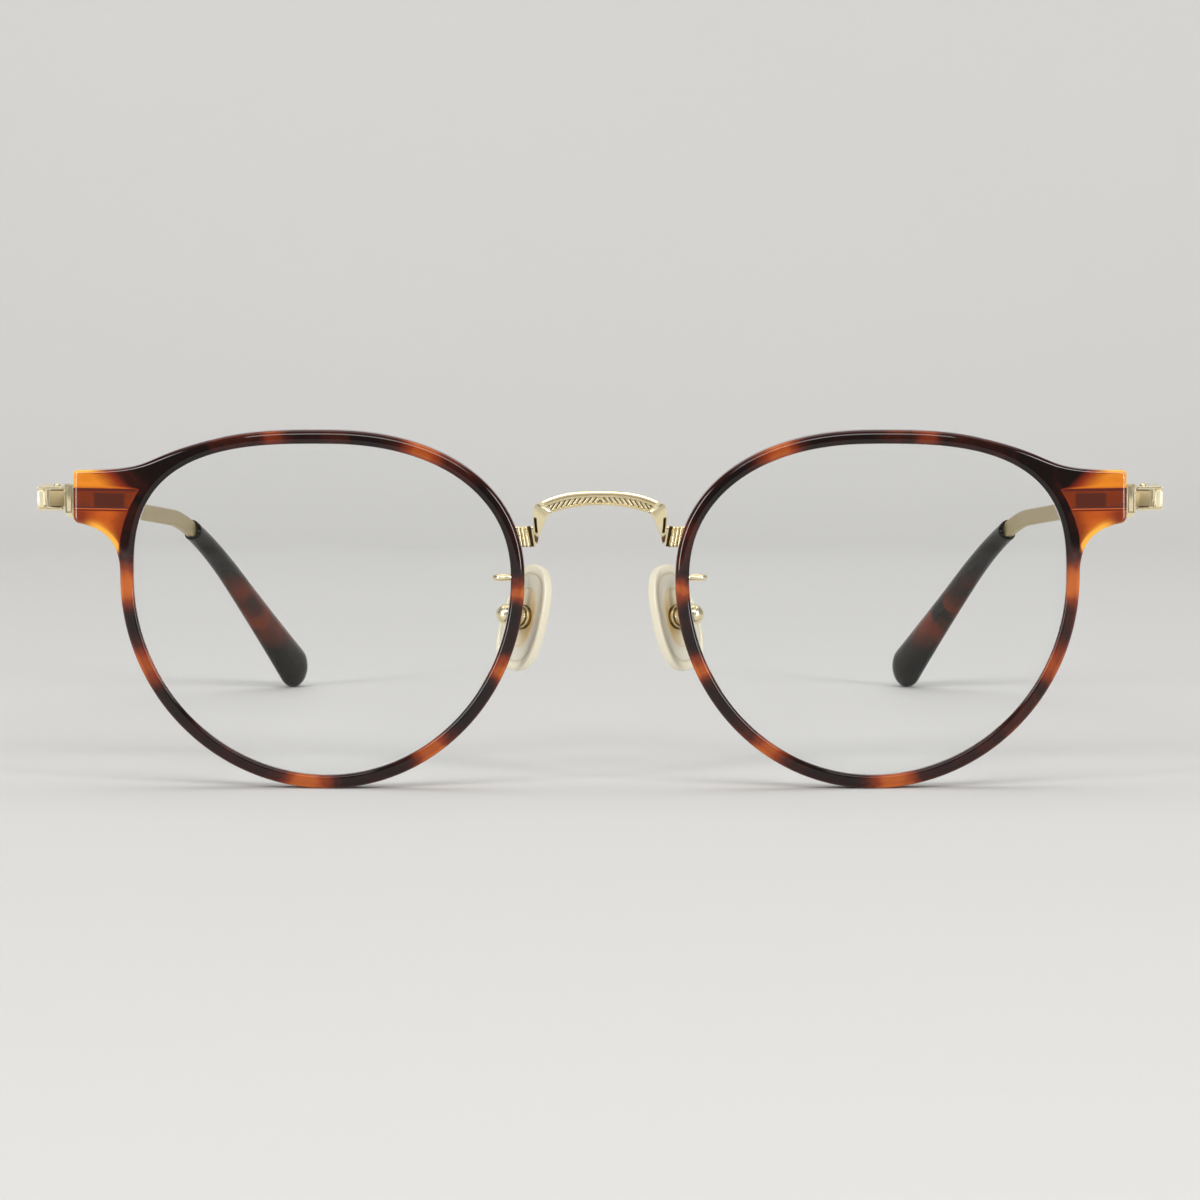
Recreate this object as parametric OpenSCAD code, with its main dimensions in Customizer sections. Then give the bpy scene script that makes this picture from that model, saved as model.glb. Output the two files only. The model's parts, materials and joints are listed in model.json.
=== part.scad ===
// Round eyeglasses: two thin acetate rims with lugs, a folded metal bridge,
// adjustable nose pads, and metal temples with acetate tips on sheet hinges.
// The wearer looks along -Y, and the wearer's left is +X. The glasses stand
// on the bottoms of their rims and on their temple tips, at Z = 0.

/* [Rims] */
// Width of one rim's opening
eye_w = 48.1; // [44:0.1:52]
// Height of one rim's opening
eye_h = 42.3; // [38:0.1:45]
// Gap between the two openings, across the nose
nose_gap = 22.6; // [20:0.1:25]
// Width of a rim, seen from the front
rim_w = 1.75; // [1.6:0.05:2.4]
// Depth of a rim from front to back
rim_d = 3.6; // [3.3:0.1:4.2]
// Radius of the rim's rounded edges
rim_edge_r = 0.45; // [0.2:0.05:0.6]
// Depth of the lens groove
groove_depth = 0.7; // [0.5:0.05:0.9]
// Width of the lens groove at its mouth
groove_w = 1.5; // [1.2:0.1:1.8]
// Radius of the surface that the front and the lenses follow
face_r = 132; // [110:1:200]
// Angle at which each rim turns back from the nose
wrap_angle = 4; // [2:0.5:6]

/* [Lenses] */
// Thickness of a lens
lens_t = 1.9; // [1.6:0.1:2.4]
// Gap between a lens and its groove
lens_clearance = 0.05; // [0.03:0.01:0.1]

/* [Lugs] */
// Length of a lug, from the opening to its end face
lug_len = 7.8; // [7.4:0.05:10]
// Height of a lug at its end face
lug_h = 6.75; // [6:0.05:7.2]
// Height of the hinges above the widest line of the rims
lug_rise = 9.9; // [9:0.1:11]
// Height of the lug's middle above the hinge
lug_offset = 0.3; // [0:0.05:0.5]
// Radius of the lug's upper corner
lug_top_r = 0.5; // [0.3:0.1:0.8]
// Radius of the lug's lower corner
lug_low_r = 0.9; // [0.3:0.1:1.2]

/* [Hinges] */
// Height of a hinge over both arms of its clevis
hinge_h = 3; // [2.8:0.1:3.4]
// Thickness of the clevis sheet
arm_t = 0.35; // [0.3:0.01:0.4]
// Diameter of a hinge pin
pin_d = 0.7; // [0.6:0.05:0.8]
// Width of the knuckle on the end piece
knuckle_w = 1.44; // [1.4:0.02:1.6]
// Radial clearance of a pin in the piece that turns on it
pin_clearance = 0.03; // [0.02:0.01:0.05]
// Clearance between a hinge's fixed faces
seat_clearance = 0.02; // [0.01:0.01:0.04]
// Thickness of a hinge washer
washer_t = 0.1; // [0.08:0.01:0.12]
// Thickness of the collar at the end of a lug
collar_t = 1.15; // [1:0.05:1.4]
// Gap between the collar and the clevis
hinge_gap = 0.35; // [0.3:0.05:0.5]
// Length of the clevis ahead of its pin
clevis_front = 3; // [2.8:0.1:3.4]
// Length of the clevis behind its pin
clevis_rear = 5; // [4.5:0.1:6]
// Length of the metal core inside a lug
core_len = 8.1; // [7:0.1:8.3]
// Slant of that core's inner end
core_slant = 0.9; // [0.6:0.1:1.5]
// Height of that core
core_h = 2.9; // [2.6:0.1:3.2]
// Thickness of that core
core_t = 0.9; // [0.8:0.05:1.1]

/* [Temples] */
// Length of a temple from the hinge pin to the end of its tip
temple_l = 145; // [135:1:150]
// Height of a temple bar at the hinge
bar_h = 2.26; // [2.1:0.02:2.28]
// Thickness of a temple bar
bar_t = 1.25; // [1.15:0.05:1.4]
// Angle at which a temple leans in from the hinge
temple_lean_angle = 6.4; // [3:0.1:7]
// Straight length of a temple before it bends over the ear
ear_from = 90.5; // [80:0.5:94]
// Length over which it bends
ear_run = 29; // [25:0.5:38]
// Angle by which it bends down
ear_drop_angle = 34.3; // [28:0.1:38]
// Angle by which it turns in
ear_turn_angle = 18.8; // [12:0.1:20]
// Length of the acetate tip
tip_l = 43; // [38:1:48]
// Height of the tip at its mouth
tip_mouth_h = 3; // [2.9:0.1:3.4]
// Thickness of the tip at its mouth
tip_mouth_t = 2.6; // [2.4:0.1:3]
// Height of the tip near its end
tip_end_h = 6.4; // [5:0.1:7]
// Thickness of the tip near its end
tip_end_t = 3.8; // [3:0.1:4.4]
// Gap between the tip and the core inside it
tip_clearance = 0.05; // [0.03:0.01:0.1]

/* [Bridge] */
// Height of the bridge's top above the widest line of the rims
bridge_rise = 11.3; // [10.4:0.1:12]
// Height of the bridge's band
band_h = 1.8; // [1.6:0.05:2.2]
// Thickness of the bridge's band
band_t = 1.2; // [1:0.05:1.4]
// Half the width of the bridge over its shoulders
shoulder_x = 8.4; // [7.8:0.05:8.6]
// Drop from the bridge's top to its shoulders
shoulder_drop = 1.75; // [1.3:0.05:2.2]
// Drop from the bridge's top to the bottom of its feet
foot_drop = 7.2; // [6.6:0.1:7.6]
// Height of a foot where it meets the rim
foot_h = 2.6; // [2.2:0.1:2.8]
// Thickness of a foot
foot_t = 1.5; // [1.2:0.1:1.8]
// Diameter of the pegs that hold the bridge in the rims
peg_d = 0.8; // [0.6:0.05:0.9]
// Length of a peg inside the rim
peg_len = 0.6; // [0.4:0.1:0.7]

/* [Nose pads] */
// Length of a nose pad
pad_l = 13.9; // [12.5:0.1:15]
// Width of a nose pad
pad_w = 7.3; // [6.8:0.1:8]
// Thickness of a nose pad at its edge
pad_edge = 1.5; // [1.2:0.1:1.7]
// Height of the pad's crown over its edge
pad_crown = 1; // [0.7:0.1:1.2]
// Angle at which a pad opens towards the face
pad_splay_angle = 46; // [40:1:50]
// Angle at which the pads part towards their lower ends
pad_spread_angle = 14; // [10:1:18]
// Diameter of the cup that holds the pad's stem
cup_d = 2.7; // [2.5:0.05:2.8]
// Diameter of the pin through the cup
pad_pin_d = 0.5; // [0.4:0.05:0.55]
// Depth of the insert plate's front in the pad, from the pad's back
pad_hollow = 1.8; // [1.4:0.1:1.9]
// Length of the stem from the cup's pin to that plate's front
stem_len = 4.5; // [4.2:0.1:4.8]
// Largest diameter of the ringed stem
stem_d = 3.1; // [2.8:0.1:3.3]
// Diameter of the pad arm's wire
wire_d = 0.8; // [0.6:0.05:0.85]
// Radius of the wire's loop beside the rim
loop_r = 0.8; // [0.65:0.05:0.9]

/* [Hidden] */

// Length by which every cut runs past the face it opens
overrun = 1;

// The opening is four quarter ovals about one centre. The shares say where that
// centre lies in the opening, and the powers how square each quarter is.
outboard_share = 0.51;
upper_share = 0.407;
power_up_out = 2.87;
power_up_in = 2.24;
power_low = 2;
out_w = eye_w * outboard_share;
in_w = eye_w - out_w;
up_h = eye_h * upper_share;
low_h = eye_h - up_h;
eye_x = nose_gap / 2 + in_w;
eye_z = low_h + rim_w;

// Distance from the opening's centre at which the front runs on straight
curve_from = out_w + rim_w;
function face_y(x, z) =
    let (u = x - eye_x, v = z - eye_z, t = min(u, curve_from))
    (t * t + 2 * t * (u - t) + v * v) / (2 * face_r) + u * tan(wrap_angle);

function oval_r(a, w, h, power) =
    pow(pow(abs(cos(a)) / w, power) + pow(abs(sin(a)) / h, power), -1 / power);
function opening_r(a) =
    let (up = sin(a) >= 0, out = cos(a) >= 0)
    oval_r(a, out ? out_w : in_w, up ? up_h : low_h, up ? (out ? power_up_out : power_up_in) : power_low);
function opening_at(a) = [eye_x, eye_z] + opening_r(a) * [cos(a), sin(a)];
function unit(v) = v / norm(v);
// The side of a line that lies outside an outline drawn anticlockwise
function outward(v) = unit([v.y, -v.x]);
function opening_normal(a) = outward(opening_at(a + 1) - opening_at(a - 1));
function rim_edge_at(a) = opening_at(a) + rim_w * opening_normal(a);
function bezier(p, t) =
    pow(1 - t, 3) * p[0] + 3 * t * pow(1 - t, 2) * p[1]
    + 3 * t * t * (1 - t) * p[2] + pow(t, 3) * p[3];

// The lug leaves the rim between these two angles about the opening's centre
lug_low_angle = 1;
lug_top_angle = 52;
hinge_z = eye_z + lug_rise;
lug_mid_z = hinge_z + lug_offset;
lug_top = lug_mid_z + lug_h / 2;
lug_bottom = lug_mid_z - lug_h / 2;
lug_end = eye_x + out_w + lug_len;
// Lengths of the curves' handles, as shares of the lug's length
low_rim_handle_share = 0.45;
low_end_handle_share = 0.5;
top_rim_handle_share = 1.5;
top_end_handle_share = 1.45;
low_start = rim_edge_at(lug_low_angle);
low_corner = [lug_end - lug_low_r, lug_bottom];
// Angles at which the lug's lower edge falls and its upper edge rises from its end
low_end_angle = 11.5;
top_end_angle = 0.5;
low_end_slope = [-cos(low_end_angle), -sin(low_end_angle)];
top_end_slope = [-cos(top_end_angle), sin(top_end_angle)];
low_curve = [low_start, low_start + [0, low_rim_handle_share * lug_len],
    low_corner + low_end_handle_share * lug_len * low_end_slope, low_corner];
top_start = rim_edge_at(lug_top_angle);
top_tangent = unit(opening_at(lug_top_angle - 1) - opening_at(lug_top_angle + 1));
top_corner = [lug_end - lug_top_r, lug_top];
top_curve = [top_corner, top_corner + top_end_handle_share * lug_len * top_end_slope,
    top_start + top_rim_handle_share * lug_len * top_tangent, top_start];

ring_steps = 68;
curve_steps = 9;
corner_steps = 2;
end_steps = 2;
ring_angles = [for (i = [0:ring_steps - 1])
    lug_top_angle + (360 + lug_low_angle - lug_top_angle) * i / ring_steps];
low_points = [for (i = [0:curve_steps - 1]) bezier(low_curve, i / curve_steps)];
low_corner_points = [for (i = [0:corner_steps])
    low_corner + lug_low_r * [sin(90 * i / corner_steps), 1 - cos(90 * i / corner_steps)]];
end_points = [for (i = [1:end_steps - 1])
    [lug_end, lug_bottom + lug_low_r + (lug_h - lug_low_r - lug_top_r) * i / end_steps]];
top_corner_points = [for (i = [0:corner_steps])
    top_corner + lug_top_r * [cos(90 * i / corner_steps), sin(90 * i / corner_steps) - 1]];
top_points = [for (i = [1:curve_steps - 1]) bezier(top_curve, i / curve_steps)];
lug_points = concat(low_points, low_corner_points, end_points, top_corner_points, top_points);
// The opening's angles spread evenly over the lug's points
lug_angles = [for (i = [0:len(lug_points) - 1])
    lug_low_angle + (lug_top_angle - lug_low_angle) * i / len(lug_points)];

angles = concat(ring_angles, lug_angles);
inner_line = [for (a = angles) opening_at(a)];
outer_line = concat([for (a = ring_angles) rim_edge_at(a)], lug_points);
stations = len(angles);
function line_normal(line, i) =
    outward(line[(i + 1) % len(line)] - line[(i + len(line) - 1) % len(line)]);
inner_normals = [for (a = angles) opening_normal(a)];
outer_normals = [for (i = [0:stations - 1]) line_normal(outer_line, i)];

// Middle of the groove and of the lens, behind the rim's front face
groove_y = rim_d / 2;
edge_bite = rim_edge_r * (1 - cos(45));
// Rounded profile of the rim with its groove: distance from the inner line or
// the outer line, and depth behind the front face
inner_profile = [[rim_edge_r, 0], [edge_bite, edge_bite], [0, rim_edge_r],
    [0, groove_y - groove_w / 2], [groove_depth, groove_y], [0, groove_y + groove_w / 2],
    [0, rim_d - rim_edge_r], [edge_bite, rim_d - edge_bite], [rim_edge_r, rim_d]];
outer_profile = [[rim_edge_r, rim_d], [edge_bite, rim_d - edge_bite], [0, rim_d - rim_edge_r],
    [0, rim_edge_r], [edge_bite, edge_bite], [rim_edge_r, 0]];
function on_face(p, depth) = [p.x, face_y(p.x, p.y) + depth, p.y];
rim_rings = [for (i = [0:stations - 1]) concat(
    [for (q = inner_profile) on_face(inner_line[i] + q[0] * inner_normals[i], q[1])],
    [for (q = outer_profile) on_face(outer_line[i] - q[0] * outer_normals[i], q[1])])];

// Lens edge: distance outside the opening, and depth
lens_profile = [[-lens_clearance, groove_y - lens_t / 2],
    [-lens_clearance, groove_y - groove_w / 2],
    [groove_depth - 2 * lens_clearance, groove_y],
    [-lens_clearance, groove_y + groove_w / 2],
    [-lens_clearance, groove_y + lens_t / 2]];
// Rings of a lens's face, as shares of its width
lens_ring_shares = [0.35, 0.7];
function lens_ring(share, depth) = [for (i = [0:stations - 1])
    on_face([eye_x, eye_z] + share * (inner_line[i] - lens_clearance * inner_normals[i]
        - [eye_x, eye_z]), depth)];
lens_rings = concat(
    [for (f = lens_ring_shares) lens_ring(f, groove_y - lens_t / 2)],
    [for (q = lens_profile) [for (i = [0:stations - 1])
        on_face(inner_line[i] + q[0] * inner_normals[i], q[1])]],
    [for (k = [1:len(lens_ring_shares)])
        lens_ring(lens_ring_shares[len(lens_ring_shares) - k], groove_y + lens_t / 2)]);
lens_poles = [on_face([eye_x, eye_z], groove_y - lens_t / 2),
    on_face([eye_x, eye_z], groove_y + lens_t / 2)];

// The hinge stands at the lug's end, and its pin is upright behind the lug
lug_front_y = face_y(lug_end, hinge_z);
lug_back_y = lug_front_y + rim_d;
lug_mid_y = lug_front_y + rim_d / 2;
lug_slope = atan(curve_from / face_r + tan(wrap_angle));
arm_r = 0.66 * knuckle_w;
knuckle_r = knuckle_w / 2;
collar_end = lug_end + collar_t;
// Step from the lug's front back to the collar's front, and from its back to the collar's back
collar_step = 0.4;
pin_x = collar_end + hinge_gap + arm_r;
// Distance of the pin's axis behind the lug's back
pin_rear = 0.9;
pin_y = lug_back_y + pin_rear;
arm_z = hinge_h / 2 - arm_t;
knuckle_h = 2 * (arm_z - washer_t - 2 * seat_clearance);
knuckle_front = 0.93 * clevis_front;
// Depth of the neck that joins the knuckle to the core in the lug
neck_d = 1.3;
// Thickness of the clevis's wall
web_t = 0.3;
// Boss on the core's front: its length and inner end as shares of the core's
// length, its height and thickness as shares of the core's
boss_l_share = 0.485;
boss_end_share = 0.83;
boss_h_share = 0.7;
boss_t_share = 0.4;
// Gap between the knuckle and the clevis's wall
bar_gap = 0.3;
bar_in = pin_x + knuckle_r + bar_gap;
bar_out = bar_in + bar_t;
// Height of the pin's domed heads
pin_head = 0.3;

// The temple's centre line, from the rear of the clevis. It starts level, and
// the whole of it is then tilted so that the tip rests on the floor.
spine_l = temple_l - clevis_rear;
spine_steps = 140;
spine_step = spine_l / spine_steps;
function bend_share(s) = max(0, min(1, (s - ear_from + clevis_rear) / ear_run));
function yaw(s) = temple_lean_angle + ear_turn_angle * bend_share(s);
function pitch(s) = ear_drop_angle * bend_share(s);
function heading(s) = [-sin(yaw(s)) * cos(pitch(s)), cos(yaw(s)) * cos(pitch(s)), -sin(pitch(s))];
function upward(s) = [-sin(yaw(s)) * sin(pitch(s)), cos(yaw(s)) * sin(pitch(s)), cos(pitch(s))];
function sideward(s) = [cos(yaw(s)), sin(yaw(s)), 0];
spine = [for (p = [0, 0, 0], i = 0; i <= spine_steps;
    p = p + spine_step * heading((i + 0.5) * spine_step), i = i + 1) p];
function spine_at(s) =
    let (k = min(spine_steps - 1, floor(s / spine_step)), t = s / spine_step - k)
    spine[k] * (1 - t) + spine[k + 1] * t;
tip_end_r = tip_end_h / 2;
tip_end_s = spine_l - tip_end_r;
end_point = spine_at(tip_end_s);
end_reach = norm([end_point.y, end_point.z]);
slope = asin((hinge_z - tip_end_r) / end_reach) + atan2(end_point.z, end_point.y);
temple_root = [(bar_in + bar_out) / 2, pin_y + clevis_rear, hinge_z];
function tilt(p) =
    [p.x, p.y * cos(slope) + p.z * sin(slope), p.z * cos(slope) - p.y * sin(slope)];
function temple_at(s, side, up) =
    temple_root + tilt(spine_at(s) + side * sideward(s) + up * upward(s));
function temple_ring(s, shape) = [for (q = shape) temple_at(s, q[0], q[1])];

// Flat bar with its long edges broken
function bar_shape(t, h) =
    let (c = 0.2 * t)
    [[t / 2, h / 2 - c], [t / 2 - c, h / 2], [c - t / 2, h / 2], [-t / 2, h / 2 - c],
        [-t / 2, c - h / 2], [c - t / 2, -h / 2], [t / 2 - c, -h / 2], [t / 2, c - h / 2]];
function oval_shape(t, h, sides) =
    [for (i = [0:sides - 1]) [t / 2 * cos(360 * i / sides), h / 2 * sin(360 * i / sides)]];
mouth_s = spine_l - tip_l;
core_end_s = spine_l - 0.25 * tip_l;
// The core inside the tip narrows from the bar's size to these shares of it
core_h_share = 0.62;
core_t_share = 0.8;
// Sections of the straight bar, as shares of the length behind the hinge
straight_shares = [0.02, 0.03, 0.1, 0.3, 0.5];
bend_steps = 12;
tip_sides = 16;
tip_steps = 12;
cap_steps = 4;
core_steps = 6;

// Places of the bridge's arch and of its feet against the rims
bridge_top = eye_z + bridge_rise;
foot_z = bridge_top - foot_drop + foot_h / 2;
// The point of the rim that the foot stands against
foot_share = (foot_z - eye_z) / up_h;
foot_in = in_w * pow(1 - pow(foot_share, power_up_in), 1 / power_up_in);
foot_rim = rim_edge_at(180 - atan2(foot_z - eye_z, foot_in));
band_y = face_y(foot_rim.x, foot_z) - 0.5 * band_t;
foot_y = face_y(foot_rim.x, foot_z) + rim_d / 2;
// Width of the fold between a leg and its foot
fold_w = 0.42;
// Flutes down the front of a foot
flutes = 3;
// Angles by which the flutes lean with the rim, and a leg's slit with its edge
flute_lean_angle = 10;
slit_lean_angle = 6;

// Nose pad frame: centre of the pad's back, and its three directions
pad_z = eye_z - 0.38 * pad_l;
pad_x = nose_gap / 2 - 0.67 * rim_w;
rim_back_y = face_y(eye_x - in_w - rim_w, pad_z) + rim_d;
// Gap between the rim's back and the pad's front edge, and how far the pad's
// face tips down, as a share of the way that it faces
pad_rim_gap = 1.4;
pad_tip_share = 0.2;
pad_normal = unit([-cos(pad_splay_angle), sin(pad_splay_angle), -pad_tip_share]);
pad_top = [-sin(pad_spread_angle), 0, cos(pad_spread_angle)];
pad_up = unit(pad_top - (pad_top * pad_normal) * pad_normal);
pad_front = cross(pad_up, pad_normal);
pad_back = [pad_x, rim_back_y + pad_rim_gap + pad_w / 2 * cos(pad_splay_angle), pad_z];
// Depth of the cup's pin behind the pad's back, along the stem
cup_out = pad_hollow - stem_len;
cup_centre = pad_back + cup_out * pad_normal;
tongue_t = 0.31 * cup_d;
tongue_h = 0.46 * cup_d;
plate_t = 0.12 * stem_len;
pad_sides = 40;
// How square the pad's outline is, and how much wider its lower end is
pad_power = 2.5;
pad_taper_share = 0.12;
function eased(c) = sign(c) * pow(abs(c), 2 / pad_power);
function pad_oval(share, sides) = [for (i = [0:sides - 1])
    let (a = 360 * i / sides, up = eased(sin(a)))
    share * [pad_w / 2 * eased(cos(a)) * (1 - pad_taper_share * up), pad_l / 2 * up]];
// Pad's section, from the space for the insert plate out through the pocket
// round the stem to the back, the edge and the crown: share of its outline, and
// height over its back
plate_share = 0.54;
pocket_share = 0.46;
plate_space_share = plate_share + 0.02;
plate_back = pad_hollow - plate_t - seat_clearance;
pad_section = [[plate_space_share, pad_hollow], [plate_space_share, plate_back], [pocket_share, plate_back],
    [pocket_share, 0.15 * pad_edge], [0.84, 0.15 * pad_edge], [0.88, 0], [0.95, 0], [1, 0.2 * pad_edge],
    [1, 0.65 * pad_edge], [0.94, pad_edge], [0.72, pad_edge + 0.55 * pad_crown],
    [0.42, pad_edge + 0.88 * pad_crown]];

// Centre line of the pad arm's wire: out of the rim's back, round a loop
// beside it, down behind the rim and into the top of the cup
wire_root = [nose_gap / 2 - 0.45 * rim_w, rim_back_y, eye_z];
wire_sides = 10;
wire_end = cup_centre + 0.36 * cup_d * unit([-0.6, 0, 0.8]);
wire_line = concat(
    [wire_root - [0, peg_len, 0], wire_root + [0, 0.3 * loop_r, 0],
        wire_root + [0.3 * loop_r, 0.75 * loop_r, 0], wire_root + [loop_r, loop_r, 0]],
    [for (a = [-90:36:90]) wire_root + [2.6 * loop_r, 2 * loop_r, 0] + loop_r * [cos(a), sin(a), 0]],
    [wire_root + loop_r * [1.5, 3, -0.05], wire_root + loop_r * [0.9, 2.95, -0.35],
        wire_root + loop_r * [0.65, 2.85, -1]],
    [[wire_root.x + 0.6 * loop_r, cup_centre.y, cup_centre.z + 0.8 * cup_d],
        [wire_root.x + 0.8 * loop_r, cup_centre.y, cup_centre.z + 0.62 * cup_d], wire_end]);

// Every ring has as many points, which turn clockwise seen along the line of
// rings; they are joined ring to ring, and the poles close the ends
module skin(rings, poles = []) {
    n = len(rings[0]);
    last = len(rings) - 1;
    closed = len(poles) == 0;
    points = [for (r = rings) for (p = r) p];
    sides = [for (i = [0:closed ? last : last - 1]) for (j = [0:n - 1])
        let (a = i * n + j, b = i * n + (j + 1) % n,
            c = (i + 1) % (last + 1) * n + (j + 1) % n, d = (i + 1) % (last + 1) * n + j)
        each [[a, b, c], [a, c, d]]];
    first_cap = closed ? [] : [for (j = [0:n - 1]) [(j + 1) % n, j, len(points)]];
    last_cap = closed ? [] : [for (j = [0:n - 1]) [last * n + j, last * n + (j + 1) % n, len(points) + 1]];
    polyhedron(points = concat(points, poles), faces = concat(sides, first_cap, last_cap), convexity = 10);
}

// Built for the wearer's left with the front at Y = 0, mirrored for the right,
// and set with the middle of the whole depth over the origin
back_y = temple_at(tip_end_s, 0, 0).y + tip_end_r;
module on_side(side) {
    translate([0, -(band_y + back_y) / 2, 0]) mirror([side < 0 ? 1 : 0, 0, 0]) children();
}

// A block between two corners
module block(low, high) {
    translate(low) cube(high - low);
}

// Metal core in the lug: a bar whose inner end slants along the rim, with a
// boss on its front
module core_bar(gap) {
    high = core_h / 2 + gap;
    boss_h = boss_h_share * core_h + 2 * gap;
    boss_l = boss_l_share * core_len;
    boss_t = boss_t_share * core_t;
    translate([lug_end, lug_mid_y, hinge_z]) rotate([0, 0, lug_slope]) {
        translate([0, core_t / 2 + gap, 0]) rotate([90, 0, 0])
            linear_extrude(height = core_t + 2 * gap)
                polygon([[gap, -high], [gap, high], [-core_len - gap, high],
                    [core_slant - core_len - gap, -high]]);
        translate([-boss_end_share * core_len - gap, -core_t / 2 - boss_t - gap, -boss_h / 2])
            cube([boss_l + 2 * gap, boss_t + core_t / 2, boss_h]);
    }
}

// Neck that leads from the core through the collar to the knuckle
module core_neck(gap) {
    block([lug_end - core_t - gap, lug_mid_y - core_t / 2 - gap, hinge_z - knuckle_h / 2 - gap],
        [pin_x - knuckle_r + seat_clearance, lug_mid_y - core_t / 2 + neck_d + gap,
            hinge_z + knuckle_h / 2 + gap]);
}

module bridge_peg(gap) {
    translate([foot_rim.x, foot_y, foot_z]) rotate([0, 90, 0])
        translate([0, 0, -overrun]) cylinder(h = peg_len + overrun + gap, d = peg_d + 2 * gap, $fn = 32);
}

module rim(side) {
    color("#4a1c10") on_side(side) difference() {
        skin(rim_rings);
        core_bar(seat_clearance);
        core_neck(seat_clearance);
        bridge_peg(seat_clearance);
        translate(wire_root + [0, overrun, 0]) rotate([90, 0, 0])
            cylinder(h = peg_len + overrun + seat_clearance, d = wire_d + 2 * seat_clearance, $fn = 32);
    }
}

module lens(side) {
    color("#dfe9ee", 0.4) on_side(side) skin(lens_rings, lens_poles);
}

module endpiece_core(side) {
    color("#d8c79a") on_side(side) difference() {
        union() {
            core_bar(0);
            core_neck(0);
            block([pin_x - knuckle_r, pin_y - knuckle_front, hinge_z - knuckle_h / 2],
                [pin_x + knuckle_r, pin_y, hinge_z + knuckle_h / 2]);
            translate([pin_x, pin_y, hinge_z])
                cylinder(h = knuckle_h, r = knuckle_r, center = true, $fn = 48);
        }
        translate([pin_x, pin_y, hinge_z])
            cylinder(h = knuckle_h + overrun, d = pin_d + 2 * pin_clearance, center = true, $fn = 48);
    }
}

// Plate of the collar's front, drawn in from its edges
module collar_front(inset, depth) {
    front = lug_front_y + collar_step;
    block([lug_end + seat_clearance + inset, front - overrun, hinge_z - 0.63 * hinge_h + inset],
        [collar_end - inset, front + depth, hinge_z + 0.63 * hinge_h - inset]);
}

module collar(side) {
    frame_w = 0.17 * collar_t;
    groove = 0.08 * collar_t;
    color("#d8c79a") on_side(side) difference() {
        union() {
            block([lug_end + seat_clearance, lug_front_y + collar_step, hinge_z - 0.63 * hinge_h],
                [collar_end, lug_mid_y, hinge_z + 0.63 * hinge_h]);
            block([lug_end + seat_clearance, lug_mid_y, hinge_z - 0.82 * hinge_h],
                [collar_end - 0.2 * collar_t, lug_back_y + collar_step, hinge_z + 0.57 * hinge_h]);
        }
        difference() {
            collar_front(frame_w, groove);
            collar_front(frame_w + groove, 2 * groove);
        }
        core_bar(seat_clearance);
        core_neck(seat_clearance);
    }
}

module hinge_pin(side) {
    shank = hinge_h / 2 + seat_clearance;
    head_r = 0.65 * pin_d;
    dome = [for (a = [0:22.5:90]) [head_r * cos(a), shank + pin_head * sin(a)]];
    top = concat([[pin_d / 2, 0], [pin_d / 2, shank]], dome);
    bottom = [for (i = [len(top) - 1:-1:1]) [top[i].x, -top[i].y]];
    slot_w = 0.25 * pin_d;
    color("#e6d9b4") on_side(side) translate([pin_x, pin_y, hinge_z]) difference() {
        rotate_extrude($fn = 48) polygon(concat(bottom, top));
        translate([-slot_w / 2, -pin_d, -shank - pin_head - overrun])
            cube([slot_w, 2 * pin_d, 0.6 * pin_head + overrun]);
    }
}

module hinge_washers(side) {
    color("#3a3a3a") on_side(side)
        for (up = [0, 1]) translate([pin_x, pin_y, hinge_z]) mirror([0, 0, up])
            translate([0, 0, knuckle_h / 2 + seat_clearance]) difference() {
                cylinder(h = washer_t, r = knuckle_r, $fn = 48);
                translate([0, 0, -overrun])
                    cylinder(h = washer_t + 2 * overrun, d = pin_d + 2 * pin_clearance, $fn = 48);
            }
}

// One sheet arm of the clevis, round at the pin and straight along the bar
module clevis_arm() {
    linear_extrude(height = arm_t) difference() {
        union() {
            circle(r = arm_r, $fn = 64);
            translate([-arm_r, -clevis_front]) square([bar_out - pin_x + arm_r, clevis_front]);
            polygon([[0, 0], [0, arm_r], [bar_in - pin_x, 0.5 * clevis_rear],
                [bar_in - pin_x, clevis_rear], [bar_out - pin_x, clevis_rear], [bar_out - pin_x, 0]]);
        }
        circle(d = pin_d + 2 * seat_clearance, $fn = 48);
    }
}

module temple_clevis(side) {
    color("#e6d9b4") on_side(side) {
        for (up = [0, 1]) translate([pin_x, pin_y, hinge_z]) mirror([0, 0, up])
            translate([0, 0, arm_z]) clevis_arm();
        block([bar_in, pin_y - clevis_front, hinge_z - arm_z],
            [bar_in + web_t, pin_y + clevis_rear, hinge_z + arm_z]);
    }
}

module temple_bar(side) {
    front_t = bar_t - web_t - seat_clearance;
    front_x = (bar_out - bar_in - front_t) / 2;
    front_shape = [for (q = bar_shape(front_t, bar_h)) q + [front_x, 0]];
    start = [for (y = [-clevis_rear - clevis_front, seat_clearance])
        [for (q = front_shape) temple_root + [q[0], y, q[1]]]];
    full = [for (k = straight_shares) temple_ring(k * spine_l, bar_shape(bar_t, bar_h))];
    bend_s = ear_from - clevis_rear;
    bend = [for (i = [0:bend_steps])
        temple_ring(bend_s + (mouth_s - bend_s) * i / bend_steps, bar_shape(bar_t, bar_h))];
    core = [for (i = [1:core_steps]) let (k = i / core_steps,
        s = mouth_s + (core_end_s - mouth_s) * k)
        temple_ring(s, core_shape(k, 0))];
    color("#d3c08c") on_side(side)
        skin(concat(start, full, bend, core),
            [temple_root + [front_x, -clevis_rear - clevis_front, 0], temple_at(core_end_s, 0, 0)]);
}

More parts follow.
